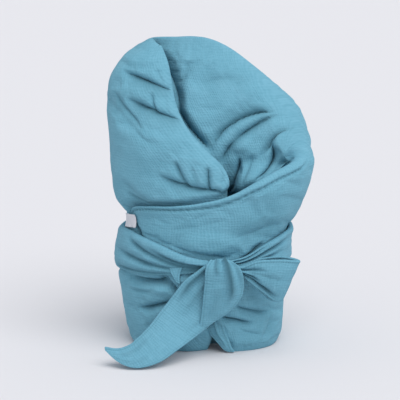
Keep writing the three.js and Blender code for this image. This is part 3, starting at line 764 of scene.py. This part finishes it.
def padded_floor():
    turn = np.linspace(0, 360, FLOOR_SIDES, endpoint=False)
    points, faces = [], []
    towards_gap = np.cos((turn - GAP_TURN) * DEGREE)
    inset = FLOOR_INSET + GAP_INSET * rise(0.85, 1, towards_gap)
    rim = point_on(body_outline, turn, np.zeros(FLOOR_SIDES), -inset)
    centre = rim.mean(0)
    for ring in range(FLOOR_RINGS + 1):
        share = ring / FLOOR_RINGS
        ring_points = mix(centre, rim, share * (1 - FLOOR_HOLE) + FLOOR_HOLE)
        ring_points[:, 2] = FLOOR_TOP * roundness((1 - share) * FLOOR_REACH, FLOOR_ROUND) ** 0.5
        ring_points[:, 2] += (lumps(ring_points, FLOOR_LUMPS) - LUMPS_SUNK) * (1 - share**4)
        points.append(ring_points)
    top = np.concatenate(points)
    under = rim.copy()
    under[:, 2] = 0
    number = np.arange(len(top)).reshape(FLOOR_RINGS + 1, FLOOR_SIDES)
    lowest = len(top) + np.arange(FLOOR_SIDES)
    for a, b in zip([*number[:-1], number[-1]], [*number[1:], lowest]):
        faces += np.stack([a, b, np.roll(b, -1), np.roll(a, -1)], -1).tolist()
    faces += [number[0].tolist(), lowest.tolist()[::-1]]
    points = np.concatenate([top, under])
    return new_object("wrap_floor", points, faces, points[:, :2])


wrap_floor = padded_floor()

# %% [markdown]
# The sash is a wide strip of doubled gauze. Its belt lies on the wrap and is drawn together
# into the knot, so it falls into long pleats: each pleat is a swelling between two creases.

# %% Belt
SASH_THICK = 2.4
BELT_GAP = 1.0
BELT_COLUMNS, BELT_ROWS = 330, 44
PLEAT_WIDTH = 60  # where the belt is narrower than this, its pleats are narrower too
# Pleats as shares of the belt's width: at the knot, at their far end, with the turns they span.
BELT_PLEATS = table(
    "near far knot_share far_share above below depth",
    (-3, 38, 0.44, 0.80, 7, 9, 8),
    (-3, 68, 0.27, 0.94, 12, 9, 9),
    (-3, 84, 0.16, 0.56, 14, 10, 9),
    (-3, 96, 0.05, 0.10, 12, 6, 8),
    (349, 284, 0.52, 0.80, 11, 8, 8),
    (349, 296, 0.30, 0.44, 10, 8, 8),
    (349, 312, 0.78, 0.92, 7, 7, 6),
    (84, 150, 0.34, 0.40, 12, 12, 4),
    (110, 235, 0.30, 0.44, 10, 10, 3),
    (150, 290, 0.74, 0.62, 10, 10, 3),
)


def skin_at(turn, height):
    """The outermost cloth at a place, as an offset from the body's outline."""
    best = np.full(np.shape(turn), -60.0)
    ground = point_on(body_outline, turn, height, 0)
    way = point_on(body_outline, turn, height, 1) - ground
    for lap in (0, 360):
        place = turn + lap
        here = (place > flap_edge_turn(height)) | (place > FLAP_BACK)
        here &= (height < rim_height(place)) & (place < corner_edge_turn(height))
        outer, _, _ = wrap_faces(place, height, detail=False)
        offset = ((outer - ground) * way).sum(-1) / (way * way).sum(-1)
        best = np.where(here, np.maximum(best, offset), best)
    return best


def clear_skin_at(turn, height):
    patches = [skin_at(turn + side, height + up) for side in (-3, 0, 3) for up in (-9, 0, 9)]
    return np.max(patches, axis=0)


def pleat_depth(turn, share, width):
    depth = np.zeros(np.shape(turn))
    for near, far, knot_share, far_share, above, below, deep in zip(*BELT_PLEATS.values()):
        along = (turn - near) / (far - near)
        line = mix(knot_share, far_share, np.clip(along, 0, 1))
        off = (share - line) * width
        start = 1 if near in (BELT_START, BELT_END) else rise(0, 0.25, along)
        fade = np.where((along < 0) | (along > 1), 0, rise(1, 0.6, along)) * start
        tight = np.clip(width / PLEAT_WIDTH, 0.35, 1)
        depth = depth + deep * fade * dent(np.abs(off), np.where(off > 0, above, below) * tight)
    return depth


belt_turns = np.linspace(BELT_START, BELT_END, BELT_COLUMNS + 1)[:, None]
belt_share = np.linspace(0, 1, BELT_ROWS + 1)[None, :]
belt_turns = belt_turns + 0 * belt_share
belt_heights = mix(belt_low(belt_turns), belt_top(belt_turns), belt_share)
belt_inside = clear_skin_at(belt_turns, belt_heights) + BELT_GAP
belt_ground = point_on(body_outline, belt_turns, belt_heights, 0)
PUFF = 9.0
BELT_LUMPS = ((1.2, (40, 40, 9), 6),)
belt_width = belt_top(belt_turns) - belt_low(belt_turns)
edge_near = np.minimum(belt_share, 1 - belt_share) * belt_width
belt_pleats = pleat_depth(belt_turns, belt_share, belt_width)
puff = PUFF * roundness(edge_near, 12) - belt_pleats
puff += lumps(belt_ground, BELT_LUMPS) * roundness(edge_near, 8)
belt_outside = belt_inside + SASH_THICK + np.maximum(puff, 0)
# The pleats' depth is stored as painted shade in the pleats.
belt = pillow(
    "sash_belt",
    point_on(body_outline, belt_turns, belt_heights, belt_outside),
    point_on(body_outline, belt_turns, belt_heights, belt_inside),
    belt_turns * DEGREE * MEAN_RADIUS,
    belt_heights,
    (belt_pleats / PUFF * 0.8, 0),
)

# %% [markdown]
# The sash's free parts are ribbons. Each is drawn by a few sections, from the knot outwards,
# that give the places of its two edges and how far its middle swells forward.

# %% Tails, loop and knot
SECTION = "ax ay az bx by bz swell"
LONG_TAIL = table(
    SECTION,
    (4, -126, 172, 36, -126, 158, 1),
    (-16, -127, 156, 29, -127, 122, 3),
    (-37, -128, 140, 24, -129, 91, 5),
    (-59, -131, 112, 11, -134, 63, 6),
    (-80, -138, 86, -17, -152, 43, 7),
    (-98, -147, 64, -45, -176, 29, 8),
    (-115, -157, 48, -73, -195, 14, 8),
    (-132, -167, 35, -99, -204, 6, 8),
    (-149, -174, 30, -124, -206, 4, 6),
    (-164, -178, 31, -150, -200, 12, 3),
    (-176, -181, 34, -175, -184, 29, 0),
)
SHORT_TAIL = table(
    SECTION,
    (9, -133, 180, 48, -133, 174, 3),
    (1, -143, 166, 62, -141, 166, 9),
    (-1, -145, 141, 68, -143, 145, 11),
    (-4, -145, 113, 66, -143, 117, 8),
    (-7, -144, 86, 47, -143, 92, 5),
    (-9, -144, 67, 12, -143, 66, 1),
    (-10, -143, 60, -5, -143, 57, 0),
)
LOOP = table(
    SECTION,
    (48, -134, 168, 50, -134, 152, 1),
    (66, -137, 169, 69, -137, 148, 4),
    (93, -142, 180, 90, -142, 132, 7),
    (131, -146, 183, 114, -145, 112, 8),
    (155, -143, 181, 128, -143, 105, 6),
    (167, -136, 179, 136, -137, 104, 0),
    (155, -129, 182, 128, -131, 102, -5),
    (132, -125, 184, 112, -126, 105, -5),
    (95, -124, 179, 91, -124, 125, -3),
    (66, -126, 168, 68, -126, 147, 0),
    (46, -128, 167, 48, -128, 153, 0),
)
SASH_CORNER = table(
    SECTION,
    (-65, -113, 160, -40, -117, 162, 0),
    (-60, -118, 149, -45, -120, 146, 1),
    (-51, -121, 135, -45, -122, 131, 0),
)


SEAM_IN = 4.6  # the stitching's distance from a sewn edge
SEAM_THICK = 0.6  # how much thicker half the sash is outside its stitching
SEAM_LINES = {"wrap": [], "sash": []}
RIBBON_LUMPS = ((1.0, 26, 12), (0.5, 9, 13))
EVEN_WIDTH = 60  # folds are measured as if the sash were this wide everywhere


def line_on(grid, row):
    """A line over a grid of points, at a fractional row of each column."""
    low = np.clip(row.astype(int), 0, grid.shape[1] - 2)
    column = np.arange(len(grid))
    return mix(grid[column, low], grid[column, low + 1], (row - low)[:, None])


def ribbon(name, sections, columns, rows, folds="", thick=SASH_THICK, hem=True):
    """A strip through its sections. Folds are lines in shares along and across it."""
    count = len(sections["ax"])
    placed = dict(sections, place=np.arange(count, dtype=float))
    read = {key: curve(placed, "place", key) for key in sections}

    def middle(u, v):
        t = u * (count - 1)
        a = np.stack([read[key](t) for key in ("ax", "ay", "az")], -1)
        b = np.stack([read[key](t) for key in ("bx", "by", "bz")], -1)
        point = mix(a, b, v[..., None])
        point[..., 1] -= read["swell"](t) * 4 * v * (1 - v)
        return point

    u = np.linspace(0, 1, columns + 1)[:, None] + np.zeros((1, rows + 1))
    v = np.linspace(0, 1, rows + 1)[None, :] + np.zeros((columns + 1, 1))
    step = 0.01
    along = middle(np.minimum(u + step, 1), v) - middle(np.maximum(u - step, 0), v)
    across = middle(u, np.minimum(v + step, 1)) - middle(u, np.maximum(v - step, 0))
    out = np.cross(along, across)
    out /= np.linalg.norm(out, axis=-1)[..., None]
    points = middle(u, v)
    width = np.linalg.norm(points[:, -1] - points[:, 0], axis=-1)[:, None]
    steps = np.linalg.norm(np.diff(points.mean(1), axis=0), axis=-1)
    length = np.concatenate([[0], np.cumsum(steps)])[:, None]
    full = length[-1, 0]
    from_edge = np.minimum(v, 1 - v) * width
    half = thick / 2 + (SEAM_THICK * rise(SEAM_IN + 1, SEAM_IN - 1, from_edge) if hem else 0)
    # Painted shade along each stitching line, and further down in each fold's bottom, stored for
    # the material to darken.
    shade = 0.5 * rise(1.8, 0, np.abs(from_edge - SEAM_IN)) * hem
    shift = lumps(points, RIBBON_LUMPS)
    level = (v - 0.5) * EVEN_WIDTH
    for row in folds.strip().splitlines():
        u0, v0, u1, v1, first, second, deep = map(float, row.split())
        share = np.linspace(0, 1, 13)
        line_level = (mix(v0, v1, share) - 0.5) * EVEN_WIDTH
        line = np.stack([mix(u0, u1, share) * full, line_level], -1)
        near = nearest_on(line, length + 0 * v, level)
        fade = rise(0, 0.15, near["along"]) if u0 > 0.01 else 1
        fade = fade * rise(1, 0.55, near["along"])
        share = fade * dent(near["distance"], np.where(near["side"] > 0, second, first))
        shift = shift - deep * share
        shade = np.maximum(shade, share * min(deep / 9, 1))
    points = points - out * shift[..., None]
    outer = points - out * half[..., None]
    inner = points + out * half[..., None]
    if hem:
        wide = width[:, 0] > 3 * SEAM_IN
        for row in (SEAM_IN / width[:, 0], 1 - SEAM_IN / width[:, 0]):
            SEAM_LINES[name.split("_")[0]].append(line_on(outer[wide], row[wide] * rows))
    return pillow(name, outer, inner, length + 0 * v, v * width, (shade, shade))


LONG_TAIL_FOLDS = """
0.00 0.12  0.34 0.15   4  9   9
0.00 0.42  0.42 0.36   9 12   4
0.00 0.70  0.50 0.74   9  9   4
0.06 0.95  0.55 0.90   8  8   3
0.62 0.25  0.98 0.40  12 12   3
0.70 0.66  0.98 0.58  12 12   2
"""
SHORT_TAIL_FOLDS = """
0.00 0.60  0.62 0.70   8 14  13
0.00 0.30  0.22 0.36   6  8   6
0.04 0.86  0.40 0.94   8  6   5
0.30 0.40  0.80 0.30  16 16   3
"""
LOOP_FOLDS = """
0.00 0.30  0.30 0.34   8 10   6
0.00 0.62  0.26 0.74   8 10   8
0.02 0.84  0.46 0.90   7  7  10
0.10 0.50  0.48 0.48  14 14   3
"""
long_tail = ribbon("sash_long_tail", LONG_TAIL, 170, 46, LONG_TAIL_FOLDS)
short_tail = ribbon("sash_short_tail", SHORT_TAIL, 100, 50, SHORT_TAIL_FOLDS)
loop = ribbon("sash_loop", LOOP, 170, 44, LOOP_FOLDS)
sash_corner = ribbon("sash_corner", SASH_CORNER, 24, 16)

# %% [markdown]
# The knot is the sash wound once round itself. Most of it hides under the short tail, so it is
# a rounded form with the slanting turns of the cloth raised on it.

# %% Knot
KNOT_CENTRE = np.array([28, -130, 163])
KNOT_HALF = np.array([31, 16, 17])
KNOT_COLUMNS, KNOT_ROWS = 64, 40
KNOT_RELIEF = 0.06  # how proud the turns of cloth stand, as a share of the knot


def knot_piece():
    around = np.linspace(0, 2 * np.pi, KNOT_COLUMNS, endpoint=False)[:, None]
    down = np.linspace(0, np.pi, KNOT_ROWS + 2)[1:-1][None, :]
    unit = [np.sin(down) * np.cos(around), np.sin(down) * np.sin(around), np.cos(down) + 0 * around]
    relief = 1 - KNOT_RELIEF + KNOT_RELIEF * np.abs(np.sin(1.5 * around + 5 * np.cos(down)))
    points = KNOT_CENTRE + np.stack(unit, -1) * KNOT_HALF * relief[..., None]
    grid = np.arange(KNOT_COLUMNS * KNOT_ROWS).reshape(KNOT_COLUMNS, KNOT_ROWS)
    right = np.roll(grid, -1, axis=0)
    faces = np.stack([grid[:, :-1], grid[:, 1:], right[:, 1:], right[:, :-1]], -1)
    faces = faces.reshape(-1, 4).tolist() + [grid[:, 0].tolist(), grid[:, -1].tolist()[::-1]]
    points = points.reshape(-1, 3)
    return new_object("sash_knot", points, faces, points[:, [0, 2]])


knot = knot_piece()

# %% [markdown]
# Where the flaps part at the foot, the hem of the right flap turns in and its inner side shows
# as a narrow strip that runs from under the tail down to the floor.

# %% Turned-in hem
TURNED_HEM = table(
    SECTION,
    (4, -104, 74, 26, -110, 74, 0),
    (4, -104, 52, 32, -111, 58, 2),
    (8, -103, 36, 38, -111, 40, 3),
    (20, -104, 22, 44, -110, 24, 3),
    (31, -106, 10, 49, -109, 10, 2),
    (40, -107, 3, 54, -108, 3, 0),
)
turned_hem = ribbon("wrap_turned_hem", TURNED_HEM, 60, 20, "0.1 0.5 0.9 0.55  7 7 4", thick=4)

# %% [markdown]
# The label is a short piece of smooth white tape, folded in two and sewn to the corner of the
# right flap. It is left blank.

# %% Label
LABEL = table("turn low top", (56, 224, 249), (82, 217, 243))
LABEL_THICK, LABEL_GAP = 1.2, 1.65
label_share = np.linspace(0, 1, 25)[:, None] + np.zeros((1, 21))
label_up = np.linspace(0, 1, 21)[None, :] + np.zeros((25, 1))
label_turns = mix(LABEL["turn"][0], LABEL["turn"][1], label_share)
label_low, label_top = (curve(LABEL, "turn", side)(label_turns) for side in ("low", "top"))
label_heights = mix(label_low, label_top, label_up)
label_inside = clear_skin_at(label_turns, label_heights) + LABEL_GAP
label = pillow(
    "label_tape",
    point_on(body_outline, label_turns, label_heights, label_inside + LABEL_THICK),
    point_on(body_outline, label_turns, label_heights, label_inside),
    label_turns * DEGREE * MEAN_RADIUS,
    label_heights,
)

# %% [markdown]
# Double gauze is two open layers tacked together, so it crinkles into small uneven cells.
# The material draws the cells as two crossing sets of ridges and valleys in the weave's own
# map, with softer crinkles over them, and paints shade in their valleys and highlight on their
# ridges. Fold bottoms and stitched grooves, which hardly any light reaches, get painted shade.

# %% Materials
def put(tree, socket, value):
    """Gives a socket a constant value or another node's output."""
    if isinstance(value, bpy.types.NodeSocket):
        tree.links.new(value, socket)
    else:
        socket.default_value = value


def principled(name, values):
    """A new material, its tree and its shader, with these constant values on the shader."""
    material = bpy.data.materials.new(name)
    material.use_nodes = True
    shader = material.node_tree.nodes["Principled BSDF"]
    for key, value in values.items():
        shader.inputs[key].default_value = value
    return material, material.node_tree, shader


def operated(tree, kind, operation, *values):
    made = tree.nodes.new(kind)
    made.operation = operation
    for socket, value in zip(made.inputs, values):
        put(tree, socket, value)
    return made.outputs[0]


def maths(tree, operation, *values):
    return operated(tree, "ShaderNodeMath", operation, *values)


def weighted(tree, *pairs):
    """The sum of values, each times its weight."""
    total = None
    for value, weight in pairs:
        part = maths(tree, "MULTIPLY", value, weight)
        total = part if total is None else maths(tree, "ADD", total, part)
    return total


def scaled_noise(tree, vector, size, detail=2.0, output="Fac"):
    made = tree.nodes.new("ShaderNodeTexNoise")
    made.inputs["Scale"].default_value = 1 / size
    made.inputs["Detail"].default_value = detail
    tree.links.new(vector, made.inputs["Vector"])
    return made.outputs[output]


def ridges(tree, vector, direction, pitch, distortion, detail):
    wave = tree.nodes.new("ShaderNodeTexWave")
    wave.bands_direction = direction
    values = {
        "Vector": vector, "Scale": 2 * math.pi / (20 * pitch), "Distortion": distortion,
        "Detail": 3, "Detail Scale": detail, "Detail Roughness": 0.65,
    }
    for key, value in values.items():
        put(tree, wave.inputs[key], value)
    return wave.outputs["Fac"]


def valleys(tree, vector, wide, long):
    """Uneven fine valleys, so far apart and so long: stretched noise, folded at its middle."""
    stretch = (1 / wide, 1 / long, 1)
    stretched = operated(tree, "ShaderNodeVectorMath", "MULTIPLY", vector, stretch)
    off_middle = maths(tree, "SUBTRACT", scaled_noise(tree, stretched, 1, 1.0), 0.5)
    return maths(tree, "MULTIPLY", maths(tree, "ABSOLUTE", off_middle), 4)


def warped(tree, vector, size, far):
    """The same places, moved about by soft noise, so that threads drift as in loose gauze."""
    colour = scaled_noise(tree, vector, size, output="Color")
    centred = operated(tree, "ShaderNodeVectorMath", "SUBTRACT", colour, (0.5, 0.5, 0.5))
    return operated(tree, "ShaderNodeVectorMath", "MULTIPLY_ADD", centred, (far, far, 0), vector)


def blend_colours(tree, share, low, high):
    ramp = tree.nodes.new("ShaderNodeMix")
    ramp.data_type = "RGBA"
    tree.links.new(share, ramp.inputs["Factor"])
    for socket, colour in ((ramp.inputs[6], low), (ramp.inputs[7], high)):
        put(tree, socket, (*colour, 1) if isinstance(colour, tuple) else colour)
    return ramp.outputs[2]


CLOTH_FINISH = {
    "Roughness": 0.9, "Sheen Weight": 0.08, "Sheen Roughness": 0.5,
    "Sheen Tint": (0.6, 0.85, 0.95, 1), "Specular IOR Level": 0.15,
}
THREAD_PITCH = 0.0009
FOLD_SHADE = 0.55  # painted shade at the bottom of a deep fold, as a share of the cloth's groove colour


def gauze(name, groove, ridge, pitch=0.0048, relief=0.6):
    material, tree, shader = principled(name, CLOTH_FINISH)
    where = tree.nodes.new("ShaderNodeUVMap")
    where.uv_map = WEAVE_MAP
    place = where.outputs["UV"]
    drifted = warped(tree, place, 0.022, 0.006)
    warp_valleys = valleys(tree, drifted, pitch * 1.3, pitch * 8)
    warp = maths(tree, "ADD", warp_valleys, ridges(tree, drifted, "X", pitch, 4, 2.4))
    weft_valleys = valleys(tree, drifted, pitch * 5, pitch * 1.4)
    weft = maths(tree, "ADD", weft_valleys, ridges(tree, drifted, "Y", pitch, 5, 2))
    threads = (ridges(tree, place, way, THREAD_PITCH, 0.6, 2) for way in "XY")
    thread = maths(tree, "MULTIPLY", *threads)
    crinkle = scaled_noise(tree, place, 0.010, 4)
    cells = maths(tree, "MINIMUM", weighted(tree, (warp, 0.34), (weft, 0.26)), 1)
    bump = tree.nodes.new("ShaderNodeBump")
    bump.inputs["Strength"].default_value = relief
    bump.inputs["Distance"].default_value = 0.0017
    height = weighted(tree, (cells, 0.9), (crinkle, 0.6), (thread, 0.08))
    tree.links.new(height, bump.inputs["Height"])
    tree.links.new(bump.outputs["Normal"], shader.inputs["Normal"])
    # Painted shade and highlight: the colour goes from the groove colour in the cells' valleys to
    # the ridge colour on their ridges, with tone that differs at random from broad noise.
    share = weighted(tree, (cells, 0.45), (scaled_noise(tree, place, 0.09), 0.4))
    colour = blend_colours(tree, share, groove, ridge)
    # Painted shade in folds and grooves: their share, read from the mesh, darkens the colour
    # towards a shaded copy of the groove colour.
    folded = tree.nodes.new("ShaderNodeAttribute")
    folded.attribute_name = FOLD_SHADE_MAP
    fold_shade_colour = tuple(value * FOLD_SHADE for value in groove)
    fold = maths(tree, "POWER", folded.outputs["Fac"], 1.4)
    tree.links.new(blend_colours(tree, fold, colour, fold_shade_colour), shader.inputs["Base Color"])
    return material


WRAP_GAUZE = gauze("wrap_gauze", (0.108, 0.310, 0.405), (0.215, 0.470, 0.600))
SASH_GAUZE = gauze("sash_gauze", (0.108, 0.300, 0.395), (0.205, 0.450, 0.575))
TAPE = gauze("label_tape", (0.60, 0.61, 0.66), (0.78, 0.79, 0.82), pitch=0.0012, relief=0.15)
for piece in (wrap, wrap_floor, turned_hem):
    piece.data.materials.append(WRAP_GAUZE)
for piece in (belt, long_tail, short_tail, loop, sash_corner, knot):
    piece.data.materials.append(SASH_GAUZE)
label.data.materials.append(TAPE)
print("materials", len(bpy.data.materials))

# %% [markdown]
# The stitching of the hems is what repeats, so Geometry Nodes sew it: the seam's line is
# divided at the stitch's pitch, and on each place lies one short thread, uneven in length.

# %% Stitches
STITCHES = {"Pitch": 0.0042, "Length": 0.0029, "Thickness": 0.0007, "Unevenness": 0.2, "Seed": 7}


def thread_material():
    material, tree, shader = principled("thread", {"Roughness": 0.75})
    place = tree.nodes.new("ShaderNodeTexCoord").outputs["Object"]
    fine, broad = (scaled_noise(tree, place, size) for size in (0.0006, 0.02))
    share = maths(tree, "MULTIPLY", fine, broad)
    colour = blend_colours(tree, share, (0.045, 0.150, 0.205), (0.100, 0.270, 0.350))
    tree.links.new(colour, shader.inputs["Base Color"])
    return material


def stitch_tree():
    """The tree, and the identifiers of its named inputs."""
    tree = bpy.data.node_groups.new("stitches", "GeometryNodeTree")
    wanted = {"Lines": "Geometry", "Seed": "Int", "Thread": "Material"}
    names = ["Lines", *STITCHES, "Thread"]
    sockets = {}
    for name in names:
        kind = "NodeSocket" + wanted.get(name, "Float")
        sockets[name] = tree.interface.new_socket(name, in_out="INPUT", socket_type=kind).identifier
    tree.interface.new_socket("Stitches", in_out="OUTPUT", socket_type="NodeSocketGeometry")
    given = tree.nodes.new("NodeGroupInput").outputs
    result = tree.nodes.new("NodeGroupOutput").inputs

    def made(kind, settings=(), output=0, **inputs):
        """One of the outputs of a new node, with its inputs given by their identifiers."""
        node = tree.nodes.new(kind)
        for name, value in dict(settings).items():
            setattr(node, name, value)
        taken = {socket.identifier: socket for socket in node.inputs}
        for name, value in inputs.items():
            put(tree, taken[name], value)
        return node.outputs[output]

    pitch, thick, even = given["Pitch"], given["Thickness"], {"data_type": "FLOAT"}
    seam = made("GeometryNodeMeshToCurve", Mesh=given["Lines"])
    spaced = made("GeometryNodeResampleCurve", {"mode": "LENGTH"}, Curve=seam, Length=pitch)
    least = maths(tree, "SUBTRACT", 1, given["Unevenness"])
    seed = given["Seed"]
    chance = made("FunctionNodeRandomValue", even, 1, Min_001=least, Max_001=1.0, Seed=seed)
    longer = maths(tree, "MULTIPLY", given["Length"], chance)
    size = made("ShaderNodeCombineXYZ", X=thick, Y=thick, Z=longer)
    tangent = made("GeometryNodeInputTangent")
    turned = made("FunctionNodeAlignRotationToVector", {"axis": "Z"}, Vector=tangent)
    thread = made("GeometryNodeMeshUVSphere", Segments=6, Rings=5, Radius=0.5)
    laid = {"Points": spaced, "Instance": thread, "Rotation": turned, "Scale": size}
    copies = made("GeometryNodeInstanceOnPoints", **laid)
    real = made("GeometryNodeRealizeInstances", Geometry=copies)
    sewn = made("GeometryNodeSetMaterial", Geometry=real, Material=given["Thread"])
    tree.links.new(sewn, result[0])
    return tree, sockets


def stitch(name, lines, tree, sockets, thread):
    mesh = bpy.data.meshes.new(name + "_lines")
    ends = np.cumsum([len(line) for line in lines])
    number = np.arange(ends[-1])
    pairs = np.stack([number[:-1], number[1:]], -1)
    pairs = pairs[~np.isin(pairs[:, 1], ends)]
    mesh.from_pydata((np.concatenate(lines) * MM).tolist(), pairs.tolist(), [])
    guide = bpy.data.objects.new(name + "_lines", mesh)
    bpy.context.scene.collection.objects.link(guide)
    sewing = guide.modifiers.new("sewing", "NODES")
    sewing.node_group = tree
    for key, value in dict(STITCHES, Thread=thread).items():
        sewing[sockets[key]] = value
    shaped = guide.evaluated_get(bpy.context.evaluated_depsgraph_get())
    piece = bpy.data.objects.new(name, bpy.data.meshes.new_from_object(shaped))
    bpy.context.scene.collection.objects.link(piece)
    bpy.data.objects.remove(guide)
    print(name, "faces", len(piece.data.polygons))
    return piece


hem_columns = np.flatnonzero((turns[:, -1] > 302) & (turns[:, -1] < 424))
hem_heights = rim_height(turns[:, -1]) - hem_band(turns[:, -1])
row_numbers = np.arange(WRAP_ROWS + 1)
hem_rows = np.array([np.interp(hem_heights[i], heights[i], row_numbers) for i in hem_columns])
SEAM_LINES["wrap"].append(line_on(wrap_outer[hem_columns], hem_rows))
sewing_tree, sewing_sockets = stitch_tree()
THREAD = thread_material()
stitches = {
    part: stitch(part + "_stitches", lines, sewing_tree, sewing_sockets, THREAD)
    for part, lines in SEAM_LINES.items()
}

# %% [markdown]
# A plain pale floor, wide enough to fill the picture, and soft light: one wide sun from above
# the camera's right, and pale surroundings that lighten the shadows.

# %% Floor and light
FLOOR_SIDE = 110.0


def studio():
    bpy.ops.mesh.primitive_plane_add(size=FLOOR_SIDE)
    floor = bpy.context.object
    floor.name = "floor"
    finish = {"Base Color": (0.69, 0.685, 0.705, 1), "Roughness": 0.95, "Specular IOR Level": 0.1}
    floor.data.materials.append(principled("floor_paper", finish)[0])
    world = bpy.data.worlds.new("studio")
    world.use_nodes = True
    background = world.node_tree.nodes["Background"]
    background.inputs["Color"].default_value = (0.93, 0.95, 1.0, 1)
    background.inputs["Strength"].default_value = 0.68
    bpy.context.scene.world = world


def soft_sun(name, towards, power, spread):
    """A wide sun, so the light is as strong on the far floor as on the wrap."""
    data = bpy.data.lights.new(name, "SUN")
    data.energy = power
    data.angle = math.radians(spread)
    lamp = bpy.data.objects.new(name, data)
    lamp.rotation_euler = Vector(towards).to_track_quat("Z", "Y").to_euler()
    bpy.context.scene.collection.objects.link(lamp)


studio()
soft_sun("key", (0.55, -0.8, 1.6), 2.0, 55)
bpy.context.scene.view_settings.view_transform = "Standard"

# %% [markdown]
# Every piece rides on the one body and stands for its solid, which is hidden. The sheets of
# the sash are listed with the sizes they were cut to, but only hung on the body here.

for piece in (wrap, wrap_floor, turned_hem):
    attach(piece, "root")
    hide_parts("wrap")
SHEETS = (
    (belt, (75, 900), "folded", ["wrap_cloth"]),
    (long_tail, (62, 290), "draped", ["wrap_cloth"]),
    (short_tail, (66, 130), "draped", ["sash_knot"]),
    (loop, (62, 230), "folded", ["sash_knot"]),
    (sash_corner, (20, 32), "folded", ["wrap_cloth"]),
)
for piece, flat, held, rests_on in SHEETS:
    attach(piece, "root")
    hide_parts("sash")
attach(knot, "root")
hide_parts("sash")
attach(label, "root")
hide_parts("label")

for part, piece in stitches.items():
    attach(piece, "root")
    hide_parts(part)
